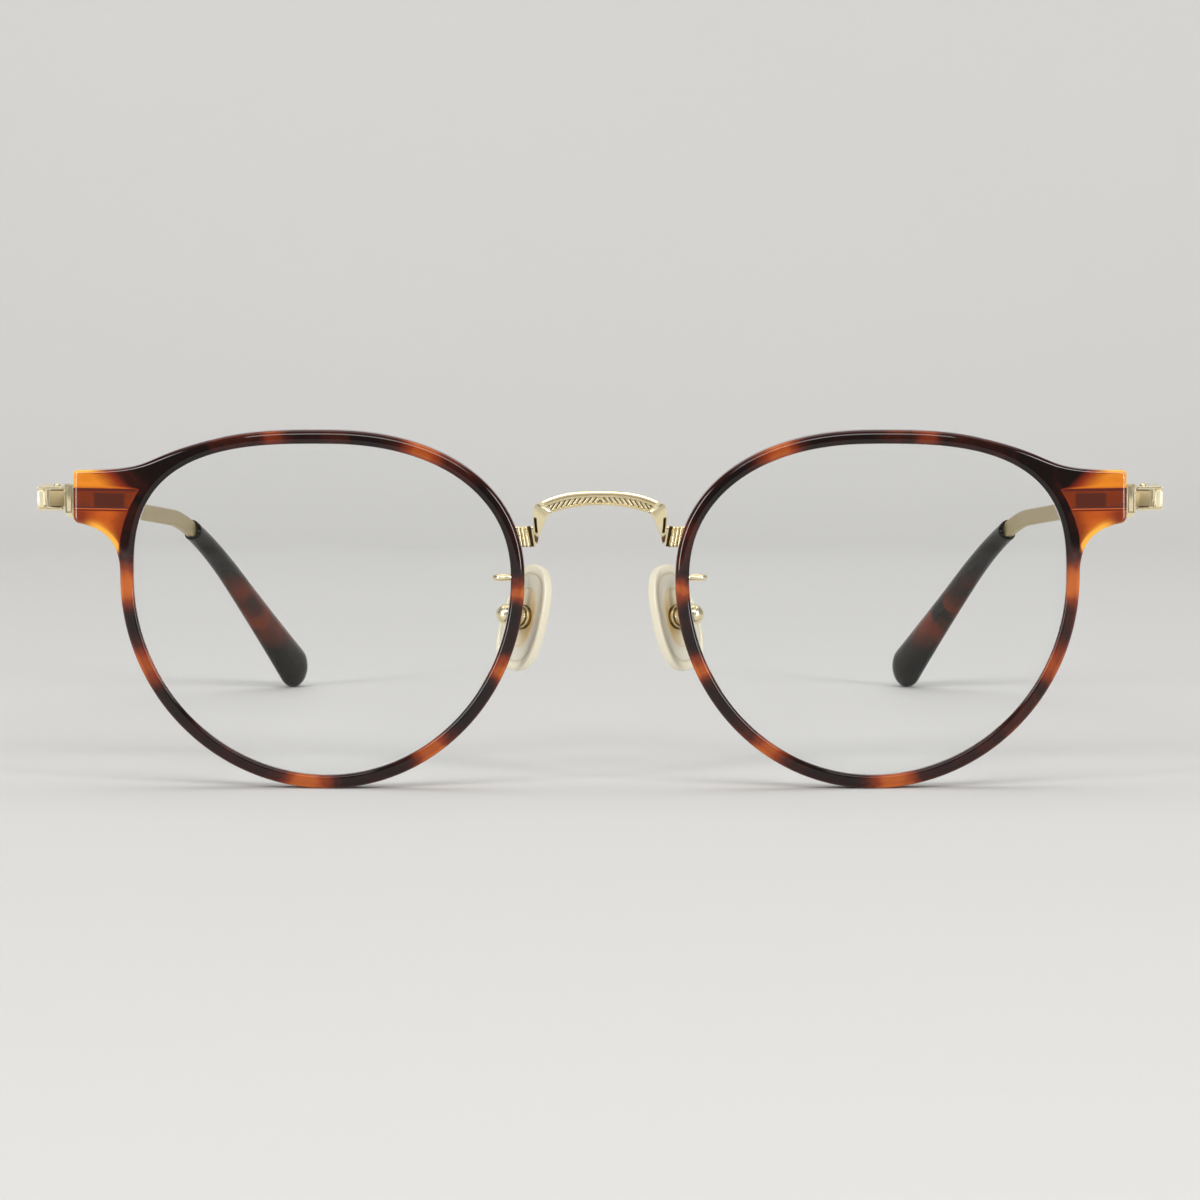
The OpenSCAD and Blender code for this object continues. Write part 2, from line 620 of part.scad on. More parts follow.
// Section of the core inside the tip, from its mouth (0) to the core's end (1)
function core_shape(k, gap) = bar_shape(bar_t * (1 - (1 - core_t_share) * k) + 2 * gap,
    bar_h * (1 - (1 - core_h_share) * k) + 2 * gap);

// Swelling of the tip from its mouth (0) to its end (1)
function swell(k) = pow(k, 1.4);
function tip_shape(k) = oval_shape(tip_mouth_t + (tip_end_t - tip_mouth_t) * swell(k),
    tip_mouth_h + (tip_end_h - tip_mouth_h) * swell(k), tip_sides);

// Each point of the core's section twice, to match the tip's outline
function doubled(shape) = [for (i = [0:len(shape) - 1])
    each [shape[i], (shape[i] + shape[(i + 1) % len(shape)]) / 2]];

module temple_tip(side) {
    channel_end = core_end_s + tip_clearance;
    channel = [for (i = [core_steps:-1:0]) let (k = i / core_steps,
        s = mouth_s + (channel_end - mouth_s) * k)
        temple_ring(s, doubled(core_shape(k, tip_clearance)))];
    outside = [for (i = [0:tip_steps]) let (k = i / tip_steps,
        s = mouth_s + (tip_end_s - mouth_s) * k)
        temple_ring(s, tip_shape(k))];
    cap = [for (i = [1:cap_steps - 1]) let (a = 90 * i / cap_steps)
        temple_ring(tip_end_s + tip_end_r * sin(a),
            oval_shape(tip_end_t * cos(a), tip_end_h * cos(a), tip_sides))];
    color("#2b201a") on_side(side)
        skin(concat(channel, outside, cap), [temple_at(channel_end, 0, 0), temple_at(spine_l, 0, 0)]);
}

// Profile of the engraved band: share of its height, from the outer to the
// inner edge, and share of its thickness, from the front. It has a bead, a
// border, the sunk panel and the lower border.
band_shares = [[0, 0.8], [0.15, 1], [0.85, 1], [1, 0.8], [1, 0.2], [0.94, 0.05], [0.87, 0.05],
    [0.82, 0.18], [0.44, 0.18], [0.4, 0.05], [0.3, 0.05], [0.27, 0.14], [0.22, 0.14], [0.18, 0.03],
    [0.1, 0], [0.03, 0.05], [0, 0.15]];
// The same profile with a plain front that stands back by a share of the thickness
function plain_shares(back) = [for (q = band_shares)
    [q[0], q[1] > 0.5 ? q[1] : q[0] == 0 || q[0] == 1 ? back + 0.12 : back]];
function band_ring(outer, inner, y, shares) = [for (q = shares)
    let (p = outer + q[0] * (inner - outer)) [p.x, y + q[1] * band_t, p.y]];
// Fall of the arch's outer and inner edge from its middle (0) to its end (1)
function arch_fall(k) = shoulder_drop * pow(k, 2.9);
function arch_in_fall(k) = 0.6 * shoulder_drop * pow(k, 2.1);
arch_end = shoulder_x - 0.12 * band_h;
arch_in_end = shoulder_x - 1.15 * band_h;
function arch_ring(k, shares) = band_ring([arch_end * k, bridge_top - arch_fall(k)],
    [arch_in_end * k, bridge_top - band_h - arch_in_fall(k)], band_y, shares);
// Rings of the arch: those along the panel, then those past its end
panel_shares = [0, 0.15, 0.3, 0.45, 0.6, 0.73, 0.84, 0.91];
past_panel_shares = [0.93, 0.96, 1];
// Rings of the leg: fall of its outer and inner edge as shares of the drop to
// the foot, their distance inside the shoulder as shares of the band's height,
// and the share of the way back to the foot
leg_shares = [[0.3, 0, 0.5, 0.86, 0], [0.4, -0.03, 0.57, 0.76, 0.04], [0.55, -0.045, 0.67, 0.6, 0.15],
    [0.73, 0, 0.81, 0.38, 0.45], [0.92, 0.08, 0.94, 0.26, 1]];

module bridge_band() {
    panel = [for (k = panel_shares) arch_ring(k, band_shares)];
    past = [for (k = past_panel_shares) arch_ring(k, plain_shares(0.05))];
    leg = [for (q = leg_shares) band_ring(
        [shoulder_x - q[1] * band_h, bridge_top - q[0] * foot_drop],
        [shoulder_x - q[3] * band_h, bridge_top - q[2] * foot_drop],
        band_y + q[4] * (foot_y - foot_t / 2 - band_y), plain_shares(0.1))];
    half = concat(panel, past, leg);
    mirrored = [for (i = [len(half) - 1:-1:1]) [for (p = half[i]) [-p.x, p.y, p.z]]];
    rings = concat(mirrored, half);
    skin(rings, [for (r = [rings[0], rings[len(rings) - 1]]) (r[0] + r[4]) / 2]);
}

// Narrow slit down the front of a leg
module leg_slit() {
    translate([shoulder_x - 0.153 * band_h, band_y, bridge_top - 0.604 * foot_drop])
        rotate([0, slit_lean_angle, 0]) cube([0.11 * band_h, 2 * band_t, 0.236 * foot_drop], center = true);
}

module bridge() {
    color("#e2d2a2") {
        difference() {
            on_side(1) bridge_band();
            for (side = [-1, 1]) on_side(side) leg_slit();
        }
        for (side = [-1, 1]) on_side(side) {
            bridge_foot();
            bridge_peg(0);
        }
    }
}

// Foot of the bridge, cut to the rim that it stands against, with the fold
// beside the leg and flutes down its front
module bridge_foot() {
    inner = shoulder_x - 0.1 * band_h;
    front = foot_y - foot_t / 2;
    fold_x = shoulder_x + 0.08 * band_h;
    fold_end = fold_x + fold_w;
    flute_step = (foot_rim.x - fold_end) / flutes;
    difference() {
        block([inner, front, foot_z - foot_h / 2],
            [foot_rim.x + rim_w / 2, front + foot_t, foot_z + foot_h / 2]);
        translate([0, foot_y + foot_t, 0]) rotate([90, 0, 0]) linear_extrude(height = 2 * foot_t)
            polygon([for (i = [0:stations - 1]) outer_line[i] + seat_clearance * outer_normals[i]]);
        translate([fold_x, front - overrun, foot_z]) rotate([0, flute_lean_angle, 0])
            translate([0, 0, -foot_h]) cube([fold_w, 0.75 * foot_t + overrun, 2 * foot_h]);
        for (i = [0:flutes - 1]) translate([fold_end + (i + 0.5) * flute_step, front, foot_z])
            rotate([0, flute_lean_angle, 0])
                cylinder(h = 2 * foot_h, r = 0.36 * flute_step, center = true, $fn = 24);
    }
}

module in_pad_frame(out) {
    multmatrix([for (k = [0:2]) [pad_front[k], pad_up[k], pad_normal[k],
        pad_back[k] + out * pad_normal[k]]]) children();
}

// Round wire along a line; each ring stands square to its neighbours' chord.
// The line never runs along the direction that sets where a ring starts.
wire_ring_start = [0, -1, 1];
module wire(line, d, sides) {
    last = len(line) - 1;
    rings = [for (i = [0:last])
        let (t = unit(line[min(i + 1, last)] - line[max(i - 1, 0)]),
            n = unit(cross(t, wire_ring_start)), b = cross(t, n))
        [for (j = [0:sides - 1]) line[i] + d / 2 * (cos(360 * j / sides) * n - sin(360 * j / sides) * b)]];
    skin(rings, [line[0], line[last]]);
}

module pad_arm(side) {
    slot_w = tongue_t + 2 * seat_clearance;
    slot_h = 1.6 * tongue_h;
    color("#e2d2a2") on_side(side) difference() {
        union() {
            in_pad_frame(cup_out) intersection() {
                sphere(d = cup_d, $fn = 48);
                translate([0, 0, -cup_d / 2]) cube([2 * cup_d, 2 * cup_d, 1.7 * cup_d], center = true);
            }
            wire(wire_line, wire_d, wire_sides);
        }
        in_pad_frame(cup_out) {
            translate([-slot_w / 2, -slot_h / 2, -0.3 * cup_d]) cube([slot_w, slot_h, 2 * cup_d]);
            rotate([0, 90, 0])
                cylinder(h = cup_d + overrun, d = pad_pin_d + 2 * seat_clearance, center = true, $fn = 48);
        }
    }
}

module pad_pin(side) {
    color("#e6d9b4") on_side(side) in_pad_frame(cup_out) rotate([0, 90, 0])
        cylinder(h = 0.96 * cup_d, d = pad_pin_d, center = true, $fn = 48);
}

// Ringed stem with its tongue in the cup and its plate in the pad
module pad_core(side) {
    neck_end = 0.56 * cup_d;
    ring_shares = [0.84, 0.74, 0.92, 0.8, 1];
    ring_l = (stem_len - plate_t - neck_end) / len(ring_shares);
    color("#e2d2a2") on_side(side) in_pad_frame(cup_out) difference() {
        union() {
            rotate([0, 90, 0]) cylinder(h = tongue_t, d = tongue_h, center = true, $fn = 48);
            translate([-tongue_t / 2, -tongue_h / 2, 0]) cube([tongue_t, tongue_h, neck_end + ring_l]);
            for (i = [0:len(ring_shares) - 1]) translate([0, 0, neck_end + i * ring_l])
                cylinder(h = ring_l, d = stem_d * ring_shares[i], $fn = 48);
            translate([0, 0, stem_len - plate_t]) linear_extrude(height = plate_t - seat_clearance)
                polygon(pad_oval(plate_share, pad_sides));
        }
        rotate([0, 90, 0])
            cylinder(h = tongue_t + overrun, d = pad_pin_d + 2 * pin_clearance, center = true, $fn = 48);
    }
}

module nose_pad(side) {
    rings = [for (q = pad_section) let (oval = pad_oval(q[0], pad_sides))
        [for (i = [pad_sides - 1:-1:0]) [oval[i].x, oval[i].y, q[1]]]];
    color("#efe6cf", 0.7) on_side(side) in_pad_frame(0)
        skin(rings, [[0, 0, pad_hollow], [0, 0, pad_edge + pad_crown]]);
}

rim(-1);  // rim_right
rim(1);  // rim_left
lens(-1);  // lens_right
lens(1);  // lens_left
bridge();
pad_arm(-1);  // pad_arm_right
pad_arm(1);  // pad_arm_left
pad_pin(-1);  // pad_pin_right
pad_pin(1);  // pad_pin_left
pad_core(-1);  // pad_core_right
pad_core(1);  // pad_core_left
nose_pad(-1);  // nose_pad_right
nose_pad(1);  // nose_pad_left
endpiece_core(-1);  // endpiece_core_right
endpiece_core(1);  // endpiece_core_left
collar(-1);  // collar_right
collar(1);  // collar_left
hinge_pin(-1);  // hinge_pin_right
hinge_pin(1);  // hinge_pin_left
hinge_washers(-1);  // hinge_washers_right
hinge_washers(1);  // hinge_washers_left
temple_clevis(-1);  // temple_clevis_right
temple_clevis(1);  // temple_clevis_left
temple_bar(-1);  // temple_bar_right
temple_bar(1);  // temple_bar_left
temple_tip(-1);  // temple_tip_right
temple_tip(1);  // temple_tip_left
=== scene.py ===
import json
from math import asin, atan, atan2, copysign, cos, hypot, pi, radians, sin, sqrt, tan

import bmesh
import bpy
from mathutils import Matrix, Vector


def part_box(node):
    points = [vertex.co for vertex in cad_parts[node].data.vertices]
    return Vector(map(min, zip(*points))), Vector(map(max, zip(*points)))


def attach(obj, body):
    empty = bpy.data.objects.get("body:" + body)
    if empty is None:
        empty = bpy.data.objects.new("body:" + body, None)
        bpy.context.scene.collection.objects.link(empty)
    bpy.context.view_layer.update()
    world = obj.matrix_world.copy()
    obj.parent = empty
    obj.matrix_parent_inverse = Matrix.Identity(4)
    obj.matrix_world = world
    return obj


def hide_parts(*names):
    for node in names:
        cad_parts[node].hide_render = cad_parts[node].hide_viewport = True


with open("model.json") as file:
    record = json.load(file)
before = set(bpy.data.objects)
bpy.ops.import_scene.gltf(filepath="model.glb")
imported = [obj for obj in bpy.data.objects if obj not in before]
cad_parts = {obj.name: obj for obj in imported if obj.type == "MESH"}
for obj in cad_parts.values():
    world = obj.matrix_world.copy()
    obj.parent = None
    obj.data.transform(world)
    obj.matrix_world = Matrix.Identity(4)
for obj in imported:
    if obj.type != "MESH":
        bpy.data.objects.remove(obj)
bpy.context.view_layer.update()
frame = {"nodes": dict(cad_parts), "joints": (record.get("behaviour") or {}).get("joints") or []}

scene = bpy.context.scene
scene.view_settings.view_transform = "Standard"
MM = 0.001
SIDES = {"right": -1, "left": 1}

# The studio: a pale seamless sweep, large soft lamps overhead, in front and at
# both sides, and an even pale world. The glasses stand open and face the camera.
sweep_half_width = 2.6
sweep_front = -2.6
sweep_back = 0.9
sweep_rise = 1.1
sweep_bend = 0.5


def colour(red, green, blue):
    """A colour as a screen shows it, 0 to 255, turned into the linear values that shaders take."""
    return tuple((c / 255 / 12.92 if c <= 10 else ((c / 255 + 0.055) / 1.055) ** 2.4)
                 for c in (red, green, blue)) + (1.0,)


class Wire:
    """An output of a shader node. Arithmetic on wires adds Math nodes."""

    def __init__(self, finish, socket):
        self.finish = finish
        self.socket = socket

    def __add__(self, other):
        return self.finish.maths("ADD", self, other)

    def __sub__(self, other):
        return self.finish.maths("SUBTRACT", self, other)

    def __rsub__(self, other):
        return self.finish.maths("SUBTRACT", other, self)

    def __mul__(self, other):
        return self.finish.maths("MULTIPLY", self, other)

    def __truediv__(self, other):
        return self.finish.maths("DIVIDE", self, other)

    def __abs__(self):
        return self.finish.maths("ABSOLUTE", self)

    def root(self):
        return self.finish.maths("SQRT", self)

    def most(self, other):
        return self.finish.maths("MAXIMUM", self, other)

    __radd__ = __add__
    __rmul__ = __mul__


class Finish:
    """A material built round one Principled shader."""

    def __init__(self, name, **constants):
        self.material = bpy.data.materials.new(name)
        self.material.use_nodes = True
        self.tree = self.material.node_tree
        self.shader = self.tree.nodes["Principled BSDF"]
        for socket, value in constants.items():
            self.shader.inputs[socket.replace("_", " ")].default_value = value

    def node(self, kind, settings, inputs, out=0):
        """Adds a node, sets it up, feeds its sockets with values or wires, and gives its output."""
        node = self.tree.nodes.new("ShaderNode" + kind)
        for key, value in settings.items():
            setattr(node, key, value)
        for key, value in inputs.items():
            self.feed(node.inputs[key], value)
        return Wire(self, node.outputs[out])

    def feed(self, socket, value):
        if isinstance(value, Wire):
            self.tree.links.new(value.socket, socket)
        else:
            socket.default_value = value

    def drive(self, **wires):
        """Feeds the shader's own sockets."""
        for socket, wire in wires.items():
            self.feed(self.shader.inputs[socket.replace("_", " ")], wire)

    def blend(self, factor, tint):
        """Lets the surface give way to clear air by a factor."""
        air = self.node("BsdfTransparent", {}, {"Color": tint})
        surface = Wire(self, self.shader.outputs[0])
        self.feed(self.tree.nodes["Material Output"].inputs["Surface"],
                  self.node("MixShader", {}, {0: factor, 1: surface, 2: air}))

    def maths(self, operation, *values):
        return self.node("Math", {"operation": operation}, dict(enumerate(values)))

    def place(self):
        return self.node("TexCoord", {}, {}, "Object")

    def stretched(self, x, y, z):
        """The place on the piece, with the pattern drawn out along an axis by a scale under 1."""
        return self.node("Mapping", {}, {"Vector": self.place(), "Scale": (x, y, z)})

    def parts(self, where):
        """The three parts of a vector or a colour."""
        split = self.node("SeparateXYZ", {}, {0: where})
        return [Wire(self, socket) for socket in split.socket.node.outputs]

    def painted(self, name):
        """A value that the mesh carries at each of its points."""
        return self.node("Attribute", {"attribute_name": name}, {}, "Fac")

    def noise(self, where, size, detail=2.0, distortion=0.0, out="Fac"):
        """Soft noise whose patches are about the given size across."""
        return self.node("TexNoise", {}, {"Vector": where, "Scale": 1 / size, "Detail": detail,
                                          "Distortion": distortion}, out)

    def ramp(self, wire, low, high, way="SMOOTHSTEP"):
        """Rises from 0 at low to 1 at high, softly or in another way."""
        return self.node("MapRange", {"interpolation_type": way},
                         {"Value": wire, "From Min": low, "From Max": high})

    def within(self, wire, low, high, soft):
        """1 between low and high, with soft ends of the given width."""
        rise = self.ramp(wire, low - soft / 2, low + soft / 2)
        return rise - rise * self.ramp(wire, high - soft / 2, high + soft / 2)

    def bands(self, wire, stops):
        """Colours that follow one another along a value, from rows of place and colour."""
        scale = self.node("ValToRGB", {}, {0: wire})
        elements = scale.socket.node.color_ramp.elements
        for place, tint in stops[1:-1]:
            elements.new(place)
        for element, (place, tint) in zip(elements, stops):
            element.position, element.color = place, tint
        return scale

    def mix(self, factor, first, second):
        return self.node("Mix", {"data_type": "RGBA"}, {0: factor, 6: first, 7: second}, 2)

    def coated(self, base, *coats):
        """Lays colours over a base, each one where its mask is 1."""
        for mask, *tint in coats:
            base = self.mix(mask, base, colour(*tint))
        return base

    def bump(self, height, strength, distance):
        return self.node("Bump", {}, {"Height": height, "Strength": strength, "Distance": distance})


paper = Finish("pale_studio_paper", Roughness=0.9, Specular_IOR_Level=0.15)
paper_grain = paper.noise(paper.place(), 0.35, 3.0)
paper.drive(Base_Color=paper.mix(paper_grain, colour(218, 217, 214), colour(224, 223, 221)))
# A camera behind the sweep looks through it
paper.blend(paper.node("NewGeometry", {}, {}, "Backfacing"), (1, 1, 1, 1))

bm = bmesh.new()
profile = [bm.verts.new((-sweep_half_width, sweep_front, 0)),
           bm.verts.new((-sweep_half_width, sweep_back - sweep_bend, 0)),
           bm.verts.new((-sweep_half_width, sweep_back, 0)),
           bm.verts.new((-sweep_half_width, sweep_back, sweep_rise))]
for pair in zip(profile, profile[1:]):
    bm.edges.new(pair)
bmesh.ops.bevel(bm, geom=[profile[2]], offset=sweep_bend, segments=24, profile=0.5,
                affect="VERTICES", material=-1)
sheet = bmesh.ops.extrude_edge_only(bm, edges=bm.edges[:])["geom"]
bmesh.ops.translate(bm, vec=(2 * sweep_half_width, 0, 0),
                    verts=[v for v in sheet if isinstance(v, bmesh.types.BMVert)])
bmesh.ops.recalc_face_normals(bm, faces=bm.faces)
if sum(f.normal.z for f in bm.faces) < 0:
    bmesh.ops.reverse_faces(bm, faces=bm.faces)
backdrop_mesh = bpy.data.meshes.new("studio_sweep")
bm.to_mesh(backdrop_mesh)
bm.free()
backdrop_mesh.shade_smooth()
backdrop_mesh.materials.append(paper.material)
backdrop = bpy.data.objects.new("studio_sweep", backdrop_mesh)
scene.collection.objects.link(backdrop)

# Where each lamp hangs, the height that it aims at, its size and its power in watts
lamps = {
    "overhead": ((0.0, 0.15, 0.95), 0.0, (1.3, 0.7), 4.0),
    "front": ((0.0, -1.15, 0.95), 0.02, (1.2, 0.32), 7.2),
    **{f"{side}_side": ((0.92 * sign, -0.95, 0.35), 0.02, (0.24, 0.85), 8.4)
       for side, sign in SIDES.items()},
}
for name, (spot, aim_z, size, power) in lamps.items():
    light = bpy.data.lights.new(name + "_softbox", "AREA")
    light.shape = "RECTANGLE"
    light.size, light.size_y = size
    light.energy = power
    lamp = bpy.data.objects.new(name + "_softbox", light)
    lamp.location = spot
    lamp.rotation_euler = (Vector((0, 0, aim_z)) - Vector(spot)).to_track_quat("-Z", "Y").to_euler()
    scene.collection.objects.link(lamp)

world = bpy.data.worlds.new("studio_air")
world.use_nodes = True
world.node_tree.nodes["Background"].inputs["Color"].default_value = (1, 1, 1, 1)
world.node_tree.nodes["Background"].inputs["Strength"].default_value = 0.2
scene.world = world

bridge_low, bridge_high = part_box("bridge")
eye_level = 79.85 * MM
view_distance = 700 * MM
aim_height = 24.35 * MM
photo_width = 151.9 * MM
camera_data = bpy.data.cameras.new("camera")
camera = bpy.data.objects.new("camera", camera_data)
drop = atan((eye_level - aim_height) / view_distance)
camera.location = (0, bridge_low.y - view_distance, eye_level)
camera.rotation_euler = (pi / 2 - drop, 0, 0)
camera_data.sensor_width = 36
camera_reach = hypot(view_distance, eye_level - aim_height)
camera_data.lens = camera_data.sensor_width * camera_reach / photo_width
camera_data.clip_start = 0.01
scene.collection.objects.link(camera)
scene.camera = camera

# The rims: two thin rings of tortoiseshell acetate, each routed from a polished
# sheet together with its lug. The outline is cut flat, its edges are rounded,
# the lens groove is milled, and the front is then curved over a warm former.
eye_w = 48.1 * MM
eye_h = 42.3 * MM
rim_w = 1.75 * MM
rim_d = 3.6 * MM
rim_round = 0.84 * MM
lug_round = 0.45 * MM
rim_fall = 0.6 * MM
rim_fall_share = rim_fall / rim_round
groove_depth = 0.7 * MM
groove_w = 1.5 * MM
face_r = 132 * MM
wrap = tan(radians(4))
out_w = 0.51 * eye_w
in_w = eye_w - out_w
up_h = 0.407 * eye_h
low_h = eye_h - up_h
power_up_in = 2.24
power_up_out = 2.87
eye_z = low_h + rim_w
lug_len = 7.8 * MM
lug_h = 6.75 * MM
lug_top_r = 0.5 * MM
lug_low_r = 0.9 * MM
lug_low_angle = 1
lug_top_angle = 52
pivots = {joint["child"]: Vector(joint["pos_m"]) for joint in frame["joints"]}
hinge = pivots["temple_left"]
seat_gap = 0.02 * MM
lug_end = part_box("collar_left")[0].x - seat_gap
eye_x = lug_end - lug_len - out_w
hinge_z = hinge.z
lug_mid_z = hinge_z + 0.3 * MM
pin_rear = 0.9 * MM


def face_depth(x, z):
    """How far the curved front lies behind its foremost level, beside the nose."""
    u, v = x - eye_x, z - eye_z
    t = min(u, out_w + rim_w)
    return (t * t + 2 * t * (u - t) + v * v) / (2 * face_r) + u * wrap


front_y = hinge.y - pin_rear - rim_d - face_depth(lug_end, hinge_z)


def opening_at(angle):
    """Point of the lens opening, made of four quarter ovals, at an angle about its centre."""
    c, s = cos(radians(angle)), sin(radians(angle))
    wide = out_w if c >= 0 else in_w
    high = up_h if s >= 0 else low_h
    power = 2 if s < 0 else (power_up_out if c >= 0 else power_up_in)
    reach = ((abs(c) / wide) ** power + (abs(s) / high) ** power) ** (-1 / power)
    return Vector((eye_x + reach * c, eye_z + reach * s))


def opening_normal(angle):
    step = opening_at(angle + 0.5) - opening_at(angle - 0.5)
    return Vector((step.y, -step.x)).normalized()


def rim_edge_at(angle):
    return opening_at(angle) + rim_w * opening_normal(angle)


def slope(angle):
    """A direction that rises towards the nose by an angle."""
    return Vector((-cos(radians(angle)), sin(radians(angle))))


def curve_points(handles, count):
    """Points along a bezier curve, without its last one."""
    a, b, c, d = handles
    return [((1 - t) ** 3) * a + 3 * t * (1 - t) ** 2 * b + 3 * t * t * (1 - t) * c + t ** 3 * d
            for t in (i / count for i in range(count))]


def lug_outline(count):
    """The lug's edge, from under the lug out to its end and back along its top. The handles
    of its two long curves are shares of the lug's length."""
    low_start = rim_edge_at(lug_low_angle)
    low_corner = Vector((lug_end - lug_low_r, lug_mid_z - lug_h / 2))
    low = [low_start, low_start + Vector((0, 0.45 * lug_len)),
           low_corner + 0.5 * lug_len * slope(-11.5), low_corner]
    top_start = rim_edge_at(lug_top_angle)
    along = (opening_at(lug_top_angle - 1) - opening_at(lug_top_angle + 1)).normalized()
    top_corner = Vector((lug_end - lug_top_r, lug_mid_z + lug_h / 2))
    top = [top_corner, top_corner + 1.45 * lug_len * slope(0.5),
           top_start + 1.5 * lug_len * along, top_start]
    corner = 6
    low_bend = [low_corner + lug_low_r * Vector((sin(a), 1 - cos(a)))
                for a in (pi / 2 * i / corner for i in range(corner + 1))]
    top_bend = [top_corner + lug_top_r * Vector((cos(a), sin(a) - 1))
                for a in (pi / 2 * i / corner for i in range(corner))]
    middle = [low_bend[-1].lerp(top_bend[0], t) for t in (0.25, 0.5, 0.75)]
    return curve_points(low, count) + low_bend + middle + top_bend + curve_points(top, count)


def piece(name, bm, body, slot, material, *nodes, sign=1, crease=35):
    """Finishes a left-hand mesh as a piece that rides on a body and stands for the named nodes."""
    bmesh.ops.scale(bm, vec=(sign, 1, 1), verts=bm.verts)
    bmesh.ops.recalc_face_normals(bm, faces=bm.faces)
    mesh = bpy.data.meshes.new(name)
    bm.to_mesh(mesh)
    bm.free()
    mesh.shade_smooth()
    mesh.set_sharp_from_angle(angle=radians(crease))
    mesh.materials.append(material)
    thing = bpy.data.objects.new(name, mesh)
    scene.collection.objects.link(thing)
    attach(thing, body)
    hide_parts(*nodes)


def both_sides(name, mesh, body, slot, material, node, crease=35):
    """Makes a piece and its mirror image. Every body but the front belongs to a side."""
    for side, sign in SIDES.items():
        piece(f"{name}_{side}", mesh(), body if body == "front" else f"{body}_{side}", slot, material,
              f"{node}_{side}", sign=sign, crease=crease)


def closed_row(bm, points):
    loop = [bm.verts.new(p) for p in points]
    for i, v in enumerate(loop):
        bm.edges.new((loop[i - 1], v))
    return loop


def edges_of(bm, row):
    return [bm.edges.get((row[i - 1], v)) for i, v in enumerate(row)]


def grown(bm, loop):
    """Extrudes a closed row of vertices and gives the new row in the same order."""
    new = {v for v in bmesh.ops.extrude_edge_only(bm, edges=edges_of(bm, loop))["geom"]
           if isinstance(v, bmesh.types.BMVert)}
    return [next(e.other_vert(v) for e in v.link_edges if e.other_vert(v) in new) for v in loop]


def lofted(bm, rings):
    """A skin over rings of points, each row of it pushed out from the last one. Gives its rows."""
    rows = []
    for ring in rings:
        rows.append(grown(bm, rows[-1]) if rows else closed_row(bm, ring))
        for v, spot in zip(rows[-1], ring):
            v.co = spot
    return rows


def capped(bm, *rows):
    """Closes each row with a face."""
    for row in rows:
        bmesh.ops.edgeloop_fill(bm, edges=edges_of(bm, row))


def flat_point(p, y=0.0):
    return Vector((p.x, y, p.y))


ring_count = 150
ring_angles = [lug_top_angle + (360 + lug_low_angle - lug_top_angle) * i / ring_count
               for i in range(ring_count)]
lug_edge = lug_outline(20)
lug_ease = 14
lug_angles = [lug_low_angle + (lug_top_angle - lug_low_angle) * i / len(lug_edge)
              for i in range(len(lug_edge))]
opening_angles = ring_angles + lug_angles
rim_outline = [rim_edge_at(a) for a in ring_angles] + lug_edge


def rounded_corner(steps):
    """From the wall to the flat face: distance from the wall and from the face, as shares."""
    ease = 2 / 2.4
    return [(1 - cos(a) ** ease, 1 - sin(a) ** ease, 1 - i / steps)
            for i, a in enumerate(pi / 2 * i / steps for i in range(steps + 1))]


def rim_mesh():
    """The left rim: rows of points round the opening, from the groove over the front to the back."""
    bm = bmesh.new()
    layers = [bm.verts.layers.float.new(name) for name in ("rounding", "outward", "edge_light")]
    count = len(rim_outline)
    normals = [opening_normal(a) for a in opening_angles]
    # How far the rounding reaches in from the outer edge, which is less on the lug
    reaches = [rim_round] * ring_count
    for j in range(len(lug_edge)):
        inside = min(1, min(j, len(lug_edge) - j) / lug_ease)
        reaches.append(rim_round + (lug_round - rim_round) * inside)
    inward = []
    for i in range(count):
        step = rim_outline[(i + 1) % count] - rim_outline[i - 1]
        inward.append(Vector((-step.y, step.x)).normalized())

    def inner_row(share, fall, back):
        depth = rim_fall * fall
        return [flat_point(opening_at(a) + share * rim_round * n, rim_d - depth if back else depth)
                for a, n in zip(opening_angles, normals)]

    def outer_row(share, fall, back):
        return [flat_point(p + share * reach * n, rim_d - rim_fall_share * reach * fall if back
                           else rim_fall_share * reach * fall)
                for p, n, reach in zip(rim_outline, inward, reaches)]

    corner = rounded_corner(9)
    rings, marks = [], []
    for back in (False, True):
        middle = [[a.lerp(b, t) for a, b in zip(inner_row(1, 0, back), outer_row(1, 0, back))]
                  for t in (0.25, 0.5, 0.75, 0.88, 0.96)]
        side = [(inner_row(share, fall, back), (edge, 0.5 * share, 0)) for share, fall, edge in corner]
        side += [(row, (0, 0.5, light)) for row, light in zip(middle, (0, 0, 0.1, 0.45, 0.8))]
        side += [(outer_row(share, fall, back), (edge, 1 - 0.5 * share, 1))
                 for share, fall, edge in corner[::-1]]
        for row, mark in (side[::-1] if back else side):
            rings.append(row)
            marks.append(mark)
    lip = [flat_point(opening_at(a), rim_d / 2) for a in opening_angles]
    deep = [p + groove_depth * flat_point(n) for p, n in zip(lip, normals)]
    for row, shift in ((lip, groove_w / 2), (deep, 0), (lip, -groove_w / 2)):
        rings.append([p + Vector((0, shift, 0)) for p in row])
        marks.append((1, 0, 0))
    rows = lofted(bm, rings)
    bmesh.ops.bridge_loops(bm, edges=edges_of(bm, rows[0]) + edges_of(bm, rows[-1]))
    for row, values in zip(rows, marks):
        for v in row:
            for layer, value in zip(layers, values):
                v[layer] = value
    for v in bm.verts:
        v.co.y += front_y + face_depth(v.co.x, v.co.z)
    return bm


